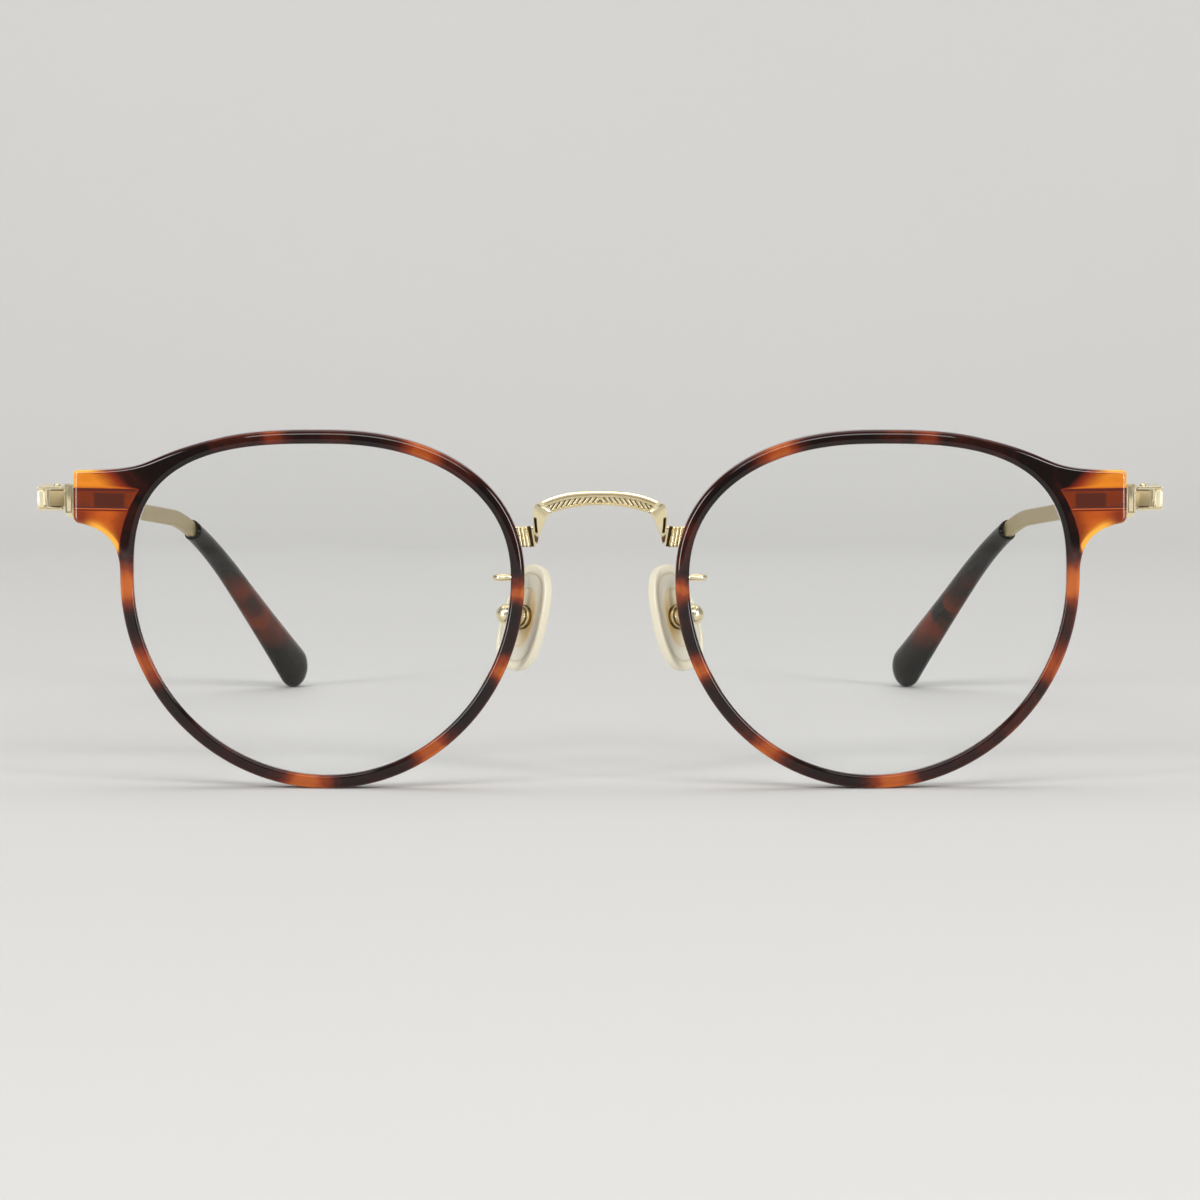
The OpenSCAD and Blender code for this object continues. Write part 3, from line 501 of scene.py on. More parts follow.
# The sheet's own pattern, in millimetres across and up from the nose and the floor
acetate = Finish("tortoiseshell_acetate", IOR=1.49, Specular_IOR_Level=0.42)
spot_x, _, spot_z = acetate.parts(acetate.place())
aside = abs(spot_x) / MM
height = spot_z / MM
swirl_x, _, swirl_z = acetate.parts(acetate.noise(acetate.place(), 3.5 * MM, 2.0, out="Color"))
rounding = acetate.painted("rounding")
outward = acetate.painted("outward")
# Red-brown stains in the sheet: place across, height, reach and strength
stains = [(41.6, 44.8, 3.0, 0.5), (22.8, 42.3, 4.6, 0.75), (10.4, 25.4, 2.4, 0.75),
          (12.8, 15.2, 2.8, 0.75), (21.5, 5.3, 4.4, 0.75), (37.3, 1.2, 4.8, 0.8),
          (57.2, 16.1, 4.4, 0.7), (59.9, 26.2, 4.4, 0.85)]
stain_and_edge_glow = acetate.ramp(acetate.noise(acetate.place(), 6 * MM, 3.0, 0.6), 0.42, 0.72) * 0.3
for across, up, reach, depth in stains:
    off_x = aside + (swirl_x - 0.5) * 3 - across
    off_z = height + (swirl_z - 0.5) * 3 - up
    away = (off_x * off_x + off_z * off_z).root()
    stain_and_edge_glow = stain_and_edge_glow.most(depth - depth * acetate.ramp(away, 0.15 * reach, 1.1 * reach))
# Painted light: the outer edge and the rounded wall let more light through, so both are painted lighter
# and redder
stain_and_edge_glow = stain_and_edge_glow + acetate.ramp(outward, 0.62, 0.95) * 0.2
shell = acetate.bands(stain_and_edge_glow, [(0.0, colour(16, 6, 4)), (0.3, colour(58, 19, 9)),
                              (0.65, colour(126, 48, 16)), (1.0, colour(206, 108, 40))])
# Painted light: red-brown painted on the rounded wall
shell = acetate.coated(shell, (acetate.ramp(rounding, 0.7, 1.0) * 0.5, 100, 30, 13))

# In the lug the sheet clears to amber. Its border leans along the rim, sharp
# under the metal core and soft above it.
core_top = 38.19
core_low = 35.3
over_core = acetate.ramp(height, core_top - 0.15, core_top + 0.35)
fall = (core_top - height).most(0)
border = 58.5 + fall * 0.62 - fall * fall * 0.038
past_border = aside - border + (swirl_x - 0.5) * 0.5
rise = (height - core_top).most(0)
glow = (past_border - over_core * 0.5 - rise) / (0.35 + over_core * 4.2)
glow = acetate.ramp(glow, 0.0, 1.0, "LINEAR") * acetate.ramp(height, 29.0, 31.0)
streak = acetate.noise(acetate.stretched(0.2, 1, 1), 0.9 * MM, 2.0)
amber_top = acetate.mix(streak, colour(190, 98, 22), colour(228, 142, 38))
amber_low = acetate.mix(streak, colour(156, 66, 21), colour(192, 90, 28))
amber_low = acetate.mix(acetate.ramp(past_border, 0.0, 2.4), colour(124, 50, 19), amber_low)
amber = acetate.mix(over_core, amber_low, amber_top)
red_corner = acetate.ramp(aside, 63.8, 66.2) * (1 - acetate.ramp(height, 35.0, 35.7))

# The core's front and its boss show through the amber, with the lines of the
# slot that it was pressed into.
in_core = acetate.within(height, core_low, core_top, 0.1) * acetate.ramp(past_border, -0.1, 0.25)
core_grain = acetate.noise(acetate.stretched(0.3, 1, 1), 1.2 * MM)
core_tint = acetate.mix(core_grain, colour(98, 37, 15), colour(126, 51, 20))
shadow = acetate.ramp(aside, 64.4, 65.3) * (1 - acetate.ramp(height, 36.0, 36.8))
boss = acetate.within(aside, 60.5, 64.5, 0.5) * acetate.within(height, 35.8, 37.6, 0.3)
slot_lines = [(acetate.within(height, low, high, 0.06), *tint) for low, high, *tint in (
    (37.84, 38.19, 84, 32, 25), (35.64, 35.82, 78, 37, 34), (35.5, 35.64, 178, 90, 48),
    (35.3, 35.47, 98, 27, 14))]
core_tint = acetate.coated(core_tint, (shadow * 0.6, 92, 42, 30), (boss * 0.85, 70, 33, 24),
                           *slot_lines)
# Painted light: light gathers along the lug's lower edge, painted there as a bright glow
edge_light = acetate.painted("edge_light") * (1 - acetate.ramp(height, 33.6, 35.0)) * (1 - red_corner)
amber = acetate.coated(amber, (red_corner * 0.85, 112, 36, 22), (edge_light * 0.85, 252, 178, 62))
# Painted highlight: a bright line painted along the lug's rounded outer edge, except over the core
painted_edge_highlight = acetate.ramp(rounding, 0.15, 0.6) * acetate.ramp(outward, 0.5, 0.7) * (1 - in_core)
lug = acetate.coated(acetate.mix(in_core, amber, core_tint),
                     (painted_edge_highlight * (1 - red_corner * 0.8), 255, 190, 72))
clearing = acetate.coated(shell, (acetate.ramp(glow, 0.0, 0.45), 132, 44, 18))
acetate.drive(Base_Color=acetate.mix(acetate.ramp(glow, 0.3, 1.0), clearing, lug),
              Roughness=0.04 + acetate.noise(acetate.place(), 8 * MM, 3.0) * 0.05,
              Normal=acetate.bump(acetate.noise(acetate.place(), 2.5 * MM), 0.12, 0.02 * MM))

both_sides("acetate_rim", rim_mesh, "front", "tortoise_acetate", acetate.material, "rim")

# The lenses: clear plastic blanks, ground to the rims' outline with a bevel
# that snaps into the groove. Both faces are curved, polished and coated against glare.
lens_t = 1.9 * MM
lens_gap = 0.05 * MM

clear = Finish("clear_lens", Roughness=0.0, IOR=1.5, Transmission_Weight=1.0,
               Base_Color=(0.985, 0.992, 0.99, 1.0), Specular_Tint=(0.3, 0.31, 0.33, 1.0))
# Light that only passes through goes straight, so nothing under a lens is lit twice
passing = [clear.node("LightPath", {}, {}, f"Is {kind} Ray") for kind in ("Shadow", "Diffuse")]
clear.blend(passing[0].most(passing[1]), (0.96, 0.97, 0.97, 1.0))


def lens_mesh():
    """A disc with a V-shaped edge, bent to the front's curve."""
    bm = bmesh.new()
    angles = range(0, 360, 2)
    edge = [(0, -lens_t / 2), (0, -groove_w / 2), (groove_depth, 0),
            (0, groove_w / 2), (0, lens_t / 2)]
    rows = lofted(bm, [[flat_point(opening_at(a) + (reach - lens_gap) * opening_normal(a),
                                   rim_d / 2 + depth) for a in angles] for reach, depth in edge])
    for row in (rows[0], rows[-1]):
        for share in (0.94, 0.82, 0.66, 0.5, 0.34, 0.18):
            row = grown(bm, row)
            for v, a in zip(row, angles):
                v.co.x, v.co.z = Vector((eye_x, eye_z)).lerp(opening_at(a), share)
        bmesh.ops.contextual_create(bm, geom=row)
    for v in bm.verts:
        v.co.y += front_y + face_depth(v.co.x, v.co.z)
    return bm


both_sides("bevelled_lens", lens_mesh, "front", "clear_lens", clear.material, "lens", 20)

# The hinge metal: the core pressed into each lug with its neck and knuckle, the
# collar round the lug's end, the folded clevis of the temple and the domed pin.
# They are milled or stamped in one alloy and plated pale gold, with broken edges.


def collar_groove_shade(finish):
    """Painted shade: a dark line painted round the raised panel on the collar's front, in its groove."""
    low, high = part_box("collar_left")
    x, _, z = finish.parts(finish.place())
    inset_x = (high.x - low.x) / 2 - abs(abs(x) - (high.x + low.x) / 2)
    inset_z = high.z - hinge_z - abs(z - hinge_z)
    return finish.within(finish.maths("MINIMUM", inset_x, inset_z) / MM, 0.17, 0.31, 0.06) * 0.6


def plated(name, darker, lighter, shine, groove_shade=None):
    """A plated metal between two colours, finely brushed, with painted shade in its recesses or its
    groove and painted light on a bar's front end.
    """
    finish = Finish(name, Metallic=1.0)
    drift = finish.noise(finish.place(), 4 * MM, 3.0)
    brushing = finish.noise(finish.stretched(1, 0.12, 1), 0.12 * MM, 3.0)
    recess_shade = groove_shade(finish) if groove_shade else finish.painted("recess_shade")
    tint = finish.coated(finish.mix(drift, darker, lighter),
                         (finish.painted("painted_lit_end"), 252, 241, 208), (recess_shade, 66, 48, 20))
    finish.drive(Base_Color=tint,
                 Roughness=shine + drift * 0.08 + brushing * 0.06 + recess_shade * 0.2,
                 Normal=finish.bump(brushing, 0.12, 0.01 * MM))
    return finish.material


bright = (colour(244, 226, 178), colour(252, 241, 208), 0.16)
bright_gold = plated("pale_gold_plate", *bright)
groove_shaded_gold = plated("groove_shaded_gold_plate", *bright, collar_groove_shade)
# Painted shade: the lug core gets a darker copy of the same plate, for the knuckle that sits in the
# hinge's shade; its rougher satin is real
shaded_gold = plated("shaded_gold_plate", colour(148, 132, 98), colour(166, 150, 114), 0.4)
# Painted shade: the bars get a darker copy of the same plate, as they lie mostly in shade; their satin
# brushing is real
satin_shaded_gold = plated("satin_shaded_gold_plate", colour(184, 166, 124), colour(203, 187, 147), 0.34)


def softened(node, width):
    """A copy of a CAD node with its hard edges broken."""
    bm = bmesh.new()
    bm.from_mesh(frame["nodes"][node].data)
    bmesh.ops.remove_doubles(bm, verts=bm.verts, dist=0.002 * MM)
    bmesh.ops.dissolve_limit(bm, angle_limit=radians(2), verts=bm.verts, edges=bm.edges)
    hard = [e for e in bm.edges if e.is_manifold and e.calc_face_angle() > radians(35)]
    bmesh.ops.bevel(bm, geom=hard, offset=width, segments=2, profile=0.5, affect="EDGES",
                    clamp_overlap=True, material=-1)
    return bm


for side in SIDES:
    temple = "temple_" + side
    for name, node, body, width, finish in (
            ("lug_core", "endpiece_core", "front", 0.05 * MM, shaded_gold),
            ("lug_collar", "collar", "front", 0.07 * MM, groove_shaded_gold),
            ("folded_clevis", "temple_clevis", temple, 0.05 * MM, bright_gold),
            ("domed_hinge_pin", "hinge_pin", temple, 0.02 * MM, bright_gold)):
        node = f"{node}_{side}"
        piece(f"{name}_{side}", softened(node, width), body, "pale_gold", finish, node)

# The washers: thin dark nylon rings between the knuckle and the clevis arms,
# punched from sheet. The model's own rings are right, so they only get a finish.
nylon = Finish("washer_nylon", Roughness=0.45)
nylon_grain = nylon.noise(nylon.place(), 0.4 * MM)
nylon.drive(Base_Color=nylon.mix(nylon_grain, colour(36, 36, 38), colour(52, 52, 53)))
for side in SIDES:
    rings = frame["nodes"][f"hinge_washers_{side}"]
    rings.data.materials.clear()
    rings.data.materials.append(nylon.material)

# The temple bars: flat wire of the same alloy, rolled with rounded edges and
# brushed, riveted between the clevis arms and bent down over the ear. The bar
# runs on, thinner, as the core of the tip. Its inner side is left unmarked.
temple_l = 145 * MM
bar_h = 2.26 * MM
bar_t = 1.25 * MM
bar_power = 5
clevis_front = 3 * MM
clevis_rear = 5 * MM
web_t = 0.3 * MM
lean = radians(6.4)
ear_from = 90.5 * MM
ear_run = 29 * MM
ear_drop = radians(34.3)
ear_turn = radians(18.8)
tip_l = 43 * MM
tip_end_h = 6.4 * MM
straight_mm = 84
core_h_share = 0.62
core_t_share = 0.8
temple_root = Vector((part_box("temple_clevis_left")[1].x - bar_t / 2, hinge.y + clevis_rear, hinge_z))
spine_l = temple_l - clevis_rear
mouth_s = spine_l - tip_l
core_end_s = spine_l - 0.25 * tip_l
tip_end_s = spine_l - tip_end_h / 2


def heading(s):
    """How the temple is turned at a distance along it: its columns are across, along and up."""
    bend = min(1, max(0, (s - ear_from + clevis_rear) / ear_run))
    return Matrix.Rotation(lean + ear_turn * bend, 3, "Z") @ Matrix.Rotation(-ear_drop * bend, 3, "X")


spine_steps = 140
spine_step = spine_l / spine_steps
spine = [Vector((0, 0, 0))]
for i in range(spine_steps):
    spine.append(spine[-1] + spine_step * heading((i + 0.5) * spine_step).col[1])


def spine_at(s):
    k = min(spine_steps - 1, int(s / spine_step))
    return spine[k].lerp(spine[k + 1], s / spine_step - k)


tip_end = spine_at(tip_end_s)
tilt = Matrix.Rotation(-asin((hinge_z - tip_end_h / 2) / hypot(tip_end.y, tip_end.z))
                       - atan2(tip_end.z, tip_end.y), 3, "X")


def temple_at(s, q):
    """Place of a point q of a section at a distance along the temple."""
    return temple_root + tilt @ (spine_at(s) + heading(s) @ Vector((q.x, 0, q.y)))


def eased_oval(wide, high, power, count=40):
    """Points of an oval. The power 2 gives a plain one, and a higher power squares its shoulders."""
    return [Vector((wide / 2 * copysign(abs(cos(a)) ** (2 / power), cos(a)),
                    high / 2 * copysign(abs(sin(a)) ** (2 / power), sin(a))))
            for a in (2 * pi * (i + 0.5) / count for i in range(count))]


def core_section(k, gap=0.0):
    """The core's outline in the tip, from the mouth (0) to its end (1)."""
    return eased_oval(bar_t * (1 - (1 - core_t_share) * k) + 2 * gap,
                      bar_h * (1 - (1 - core_h_share) * k) + 2 * gap, bar_power)


def bar_mesh():
    bm = bmesh.new()
    painted_lit_end = bm.verts.layers.float.new("painted_lit_end")
    front_t = bar_t - web_t - seat_gap
    front_x = (bar_t - front_t) / 2
    front_end = -clevis_rear - clevis_front
    rings = [[temple_root + Vector((front_x + q.x, y, q.y))
              for q in eased_oval(share * front_t, share * bar_h, bar_power)]
             for share, y in ((0.8, front_end), (0.94, front_end + 0.04 * MM),
                              (1, front_end + 0.13 * MM), (1, seat_gap))]
    # Few rows along the straight part, and one each millimetre in the bend
    stops = [0.02 * spine_l, 0.03 * spine_l] + [s * MM for s in range(8, straight_mm, 4)]
    stops += [s * MM for s in range(straight_mm, int(mouth_s / MM) + 1)]
    rings += [[temple_at(s, q) for q in eased_oval(bar_t, bar_h, bar_power)] for s in stops]
    rings += [[temple_at(mouth_s + (core_end_s - mouth_s) * k, q) for q in core_section(k)]
              for k in (i / 24 for i in range(1, 25))]
    rows = lofted(bm, rings)
    capped(bm, rows[0], rows[-1])
    # Painted light: the bar's front end, inside the clevis, is painted bright against the bar's painted
    # shade
    for row in rows[:3]:
        for v in row:
            v[painted_lit_end] = 1.0
    return bm


both_sides("gold_temple_bar", bar_mesh, "temple", "pale_gold", satin_shaded_gold, "temple_bar")

# The temple tips: dark tortoiseshell acetate, turned oval and swelling towards a
# round end, bored for the core, warmed, pushed over it and bent with it. The
# mouth is scooped out on its flat sides, so that the bar's end looks round.
tip_mouth_h = 3.0 * MM
tip_mouth_t = 2.6 * MM
tip_end_t = 3.8 * MM
tip_swell = 1.8
tip_gap = 0.05 * MM
scoop = 0.9 * MM
scoop_reach = 4 * MM

dark_acetate = Finish("dark_tip_acetate", IOR=1.49, Specular_IOR_Level=0.14)
cloud = dark_acetate.ramp(dark_acetate.noise(dark_acetate.place(), 8 * MM, 3.0, 0.8), 0.36, 0.62)
tip_height = dark_acetate.parts(dark_acetate.place())[2] / MM
ember = dark_acetate.within(tip_height, 8.0, 17.0, 5.0) * cloud
ripple = dark_acetate.noise(dark_acetate.place(), 3 * MM)
moss = dark_acetate.mix(ripple, colour(15, 14, 9), colour(32, 28, 16))
dark_acetate.drive(Base_Color=dark_acetate.mix(ember, moss, colour(104, 44, 20)),
                   Roughness=0.08 + cloud * 0.06, Normal=dark_acetate.bump(ripple, 0.1, 0.02 * MM))


def mouth_point(s, q, high):
    """A point of the tip, moved along it near the mouth by the scoop."""
    near = max(0, 1 - (s - mouth_s) / scoop_reach) ** 2
    return temple_at(s + scoop * near * (1 - (2 * q.y / high) ** 2), q)


def tip_mesh():
    bm = bmesh.new()
    channel_end = core_end_s + tip_gap
    rings = []
    for k in (1 - i / 24 for i in range(25)):
        section = core_section(k, tip_gap)
        high = max(q.y for q in section) * 2
        rings.append([mouth_point(mouth_s + (channel_end - mouth_s) * k, q, high) for q in section])
    for share, s in ((0.93, 0.0), (0.98, 0.06 * MM)):
        high = tip_mouth_h * share
        rings.append([mouth_point(mouth_s + s, q, high)
                      for q in eased_oval(tip_mouth_t * share, high, 2)])
    for k in (0.008 + 0.992 * i / 60 for i in range(61)):
        s = mouth_s + (tip_end_s - mouth_s) * k
        wide = tip_mouth_t + (tip_end_t - tip_mouth_t) * k ** tip_swell
        high = tip_mouth_h + (tip_end_h - tip_mouth_h) * k ** tip_swell
        rings.append([mouth_point(s, q, high) for q in eased_oval(wide, high, 2)])
    for a in (pi / 2 * i / 12 for i in range(1, 12)):
        rings.append([temple_at(tip_end_s + tip_end_h / 2 * sin(a), q)
                      for q in eased_oval(tip_end_t * cos(a), tip_end_h * cos(a), 2)])
    rows = lofted(bm, rings)
    capped(bm, rows[0], rows[-1])
    return bm


both_sides("acetate_tip", tip_mesh, "temple", "tip_acetate", dark_acetate.material, "temple_tip", 50)

# The bridge: one stamped strap of the alloy with a beaded top edge and a sunk
# panel of engraved leaf strokes. Its legs fold down and back, and end in fluted
# feet that stand against the rims and are pegged into them.
band_h = 1.8 * MM
band_t = 1.2 * MM
shoulder_x = 8.4 * MM
shoulder_drop = 1.75 * MM
inner_drop = 0.6 * shoulder_drop
foot_drop = 7.2 * MM
foot_h = 2.6 * MM
foot_t = 1.5 * MM
fold_w = 0.42 * MM
fold_lean = tan(radians(10))
flutes = 3
flute_share = 0.4
slit_lean = tan(radians(6))
slit_drop = 0.604 * foot_drop
foot_cover = 0.25 * MM
peg_d = 0.8 * MM
band_y = bridge_low.y
bridge_top = bridge_high.z
foot_z = bridge_top - foot_drop + foot_h / 2
foot_y = band_y + 0.5 * band_t + rim_d / 2
# The band's front from the outer edge (0) to the inner edge (1), and how far
# each place lies back, as a share of the thickness
relief = [(0, 0.15), (0.03, 0.05), (0.1, 0), (0.18, 0.03), (0.22, 0.14), (0.27, 0.14), (0.3, 0.05),
          (0.4, 0.05), (0.44, 0.18), (0.82, 0.18), (0.87, 0.05), (0.94, 0.05), (1, 0.2)]
bead_line = 0.245
across = [0, 0.012, 0.03, 0.055, 0.1, 0.145, 0.18, 0.2, 0.22, bead_line, 0.27, 0.285, 0.3, 0.35,
          0.4, 0.42, *(0.44 + 0.38 * i / 12 for i in range(13)), 0.845, 0.87, 0.905, 0.94, 0.975, 1]
band_back = [(1, 0.8), (0.95, 0.95), (0.85, 1), (0.5, 1), (0.15, 1), (0.05, 0.95), (0, 0.8)]
stroke_step = 0.66 * MM
stroke_depth = 0.14 * MM
stroke_end = 0.9
panel_end = 0.905


def line_at(points, value):
    """Height of a broken line at a value."""
    for (x0, y0), (x1, y1) in zip(points, points[1:]):
        if value <= x1:
            return y0 + (y1 - y0) * (value - x0) / (x1 - x0)
    return points[-1][1]


def hump(value, middle, half):
    """1 at the middle, falling evenly to 0 at half a width from it."""
    return max(0, 1 - abs(value - middle) / half)


def smooth_line(points, count):
    """A smooth line through all of the points, with count steps from each to the next."""
    line = []
    for i in range(len(points) - 1):
        a, b, c, d = (points[min(max(j, 0), len(points) - 1)] for j in range(i - 1, i + 3))
        line += [(2 * b + (c - a) * t + (2 * a - 5 * b + 4 * c - d) * t ** 2
                  + (3 * b - a - 3 * c + d) * t ** 3) / 2 for t in (k / count for k in range(count))]
    return line + [points[-1]]


def band_ring(outer, inner, y, depth_at, slit=bead_line):
    """One section of the band and the shade of each of its points. On a leg, the
    rows of points that run along the bead follow the slit."""
    ring, shades = [], []
    moved = [(0, 0), (bead_line - 0.065, slit - 0.065), (bead_line + 0.065, slit + 0.065), (1, 1)]
    for t in across:
        spot = outer.lerp(inner, line_at(moved, t))
        depth, shade = depth_at(t, spot)
        ring.append(flat_point(spot, y + depth))
        shades.append(shade)
    for t, share in band_back:
        ring.append(flat_point(outer.lerp(inner, t), y + share * band_t))
        shades.append(0.0)
    return ring, shades


def panel_depth(k):
    """Depth and shade across the arch at a share of its length."""
    plain = min(1, max(0, (k - panel_end) / 0.02))

    def depth_at(t, spot):
        carved = line_at(relief, t) * band_t
        phase = (spot.x - 0.9 * t * band_h) / stroke_step
        stroke = hump(phase % 1, 0.5, 0.3) * min(1, 8 * hump(t, 0.63, 0.2)) * (k < stroke_end)
        shade = 0.9 * stroke + 0.5 * hump(t, bead_line, 0.05) + (0.22 if 0.42 < t < 0.84 else 0)
        facet = 0.05 * band_t + 0.12 * band_t * hump(k, 0.95, 0.035) * hump(t, 0.5, 0.6)
        edges = 0.1 * band_t * (t in (0, 1))
        return ((carved + stroke_depth * stroke) * (1 - plain) + (facet + edges) * plain,
                shade * (1 - plain))
    return depth_at


def slit_at(height):
    """How far out the slit's middle lies at a height."""
    return shoulder_x - 0.153 * band_h + (height - bridge_top + slit_drop) * slit_lean


def leg_depth(t, spot):
    """Depth and shade across a leg, with the narrow slit down its front."""
    inside = (min(1, 3 * hump(spot.x, slit_at(spot.y), 0.16 * MM))
              * min(1, 6 * hump(spot.y, bridge_top - slit_drop, 0.14 * foot_drop)))
    edges = 0.12 * band_t * (t in (0, 1)) + 0.03 * band_t * (t in (0.012, 0.975))
    return 0.08 * band_t + edges + 0.3 * band_t * inside, inside


def bridge_mesh():
    """Half of the bridge, from its middle to the foot, and then its mirror image."""
    bm = bmesh.new()
    # Painted shade: this layer darkens the engraved strokes, the bead's line, the sunk panel, the slit,
    # the fold between leg and foot and the grooves between the flutes
    recess_shade = bm.verts.layers.float.new("recess_shade")
    rings = []
    outer_inset, inner_inset = 0.12, 1.15
    arch_end = shoulder_x - outer_inset * band_h
    arch_in_end = shoulder_x - inner_inset * band_h
    for k in (i / 150 for i in range(151)):
        outer = Vector((arch_end * k, bridge_top - shoulder_drop * k ** 2.9))
        inner = Vector((arch_in_end * k, bridge_top - band_h - inner_drop * k ** 2.1))
        rings.append(band_ring(outer, inner, band_y, panel_depth(k)))
    # Outer and inner fall, their distance inside the shoulder, and the way back
    falls = [(shoulder_drop / foot_drop, outer_inset, (band_h + inner_drop) / foot_drop, inner_inset, 0),
             (0.3, 0, 0.5, 0.86, 0), (0.4, -0.03, 0.57, 0.76, 0.04), (0.55, -0.045, 0.67, 0.6, 0.15),
             (0.73, 0, 0.81, 0.38, 0.45), (0.92, 0.08, 0.94, 0.26, 1)]
    for fall in smooth_line([Vector(row) for row in falls], 20)[1:]:
        outer = Vector((shoulder_x - fall[1] * band_h, bridge_top - fall[0] * foot_drop))
        inner = Vector((shoulder_x - fall[3] * band_h, bridge_top - fall[2] * foot_drop))
        beside = [slit_at(p.y) - p.x for p in (outer, inner)]
        slit = min(0.6, max(0.12, beside[0] / (beside[0] - beside[1])))
        y = band_y + fall[4] * (foot_y - foot_t / 2 - band_y)
        rings.append(band_ring(outer, inner, y, leg_depth, slit))
    rows = lofted(bm, [ring for ring, shades in rings])
    for row, (ring, shades) in zip(rows, rings):
        for v, shade in zip(row, shades):
            v[recess_shade] = shade
    capped(bm, rows[-1])

    # The foot, out to just inside the rim's edge
    rim_line = sorted((p.y, p.x) for p in rim_outline[:ring_count]
                      if p.x < eye_x and p.y > eye_z - 2 * MM)
    rim_x = line_at(rim_line, foot_z)
    inner = shoulder_x - 0.1 * band_h
    fold_x = shoulder_x + 0.08 * band_h
    flute_step = (rim_x - fold_x - fold_w) / flutes
    flute_r = flute_share * flute_step
    foot = bmesh.ops.create_grid(bm, x_segments=64, y_segments=20, size=1)["verts"]
    for v in foot:
        across_foot, up = (v.co.x + 1) / 2, v.co.y
        z = foot_z + up * foot_h / 2
        aslant = (z - foot_z) * fold_lean
        x = inner + across_foot * (rim_x + foot_cover - inner) + aslant * min(1, 10 * across_foot)
        place = x - fold_x - aslant
        fold = min(1, 3 * hump(place, fold_w / 2, fold_w / 2))
        reaches = [(place - fold_w - (i + 0.5) * flute_step) / flute_r for i in range(flutes)]
        flute = max(sqrt(max(0, 1 - reach * reach)) for reach in reaches)
        worn = 0.16 * MM * (max(0, abs(up) - 0.85) / 0.15) ** 2
        v.co = (x, foot_y - foot_t / 2 + max(0.75 * foot_t * fold, flute_r * flute) + worn, z)
        # Painted shade in the fold and between the flutes
        v[recess_shade] = max(0.95 * fold, 0.75 * (flute > 0) * (1 - flute))
    faces = {f for v in foot for f in v.link_faces}
    back = bmesh.ops.extrude_face_region(bm, geom=list(faces))["geom"]
    for v in (v for v in back if isinstance(v, bmesh.types.BMVert)):
        v.co.y = foot_y + foot_t / 2
        v[recess_shade] = 0
    bmesh.ops.create_cone(bm, cap_ends=True, segments=24, radius1=peg_d / 2, radius2=peg_d / 2,
                          depth=0.8 * MM, matrix=Matrix.Translation((rim_x + 0.2 * MM, foot_y, foot_z))
                          @ Matrix.Rotation(pi / 2, 4, "Y"))
    bmesh.ops.mirror(bm, geom=bm.verts[:] + bm.edges[:] + bm.faces[:], matrix=Matrix(),
                     merge_dist=0.001 * MM, axis="X")
    return bm


piece("engraved_bridge", bridge_mesh(), "front", "pale_gold", bright_gold, "bridge", crease=28)

# The pad arms: round wire soldered into the rim's back, wound once beside it and
# led down behind it to a domed cup that holds the pad by a cross pin.
pad_l = 13.9 * MM
pad_w = 7.3 * MM
pad_edge = 1.5 * MM
pad_crown = 1 * MM
crown_share = 0.94
crown_power = 2.6
pad_hollow = 1.8 * MM
stem_len = 4.5 * MM
stem_d = 3.1 * MM
cup_d = 2.7 * MM
cut_share = 0.32
wire_d = 0.8 * MM
loop_r = 0.8 * MM
splay = radians(46)
spread = radians(14)
plate_share = 0.54
plate_t = 0.12 * stem_len
tongue_t = 0.31 * cup_d
tongue_h = 0.46 * cup_d
cup = pivots["pad_left"]
pad_normal = Vector((-cos(splay), sin(splay), -0.2)).normalized()
pad_up = Vector((-sin(spread), 0, cos(spread)))
pad_up = (pad_up - pad_up.dot(pad_normal) * pad_normal).normalized()
pad_turn = Matrix((pad_up.cross(pad_normal), pad_up, pad_normal)).transposed().to_4x4()
cup_frame = Matrix.Translation(cup) @ pad_turn
pad_frame = Matrix.Translation(cup + (stem_len - pad_hollow) * pad_normal) @ pad_turn
nose_gap = 22.6 * MM
rim_back_y = front_y + rim_d + face_depth(eye_x - in_w - rim_w, eye_z - 0.38 * pad_l)
root = Vector((nose_gap / 2 - 0.45 * rim_w, rim_back_y, eye_z))
loop = [(2.6 + cos(radians(a)), 2 + sin(radians(a)), 0) for a in range(-90, 91, 36)]
wire_line = [root - Vector((0, 0.6 * MM, 0))]
wire_line += [root + loop_r * Vector(spot) for spot in (
    (0, 0.3, 0), (0.3, 0.75, 0), (1, 1, 0), *loop,
    (1.5, 3, -0.05), (0.9, 2.95, -0.35), (0.65, 2.85, -1))]
wire_line += [Vector((root.x + out * loop_r, cup.y, cup.z + up * cup_d))
              for out, up in ((0.6, 0.8), (0.8, 0.62))]
wire_line.append(cup + 0.36 * cup_d * Vector((-0.6, 0, 0.8)))


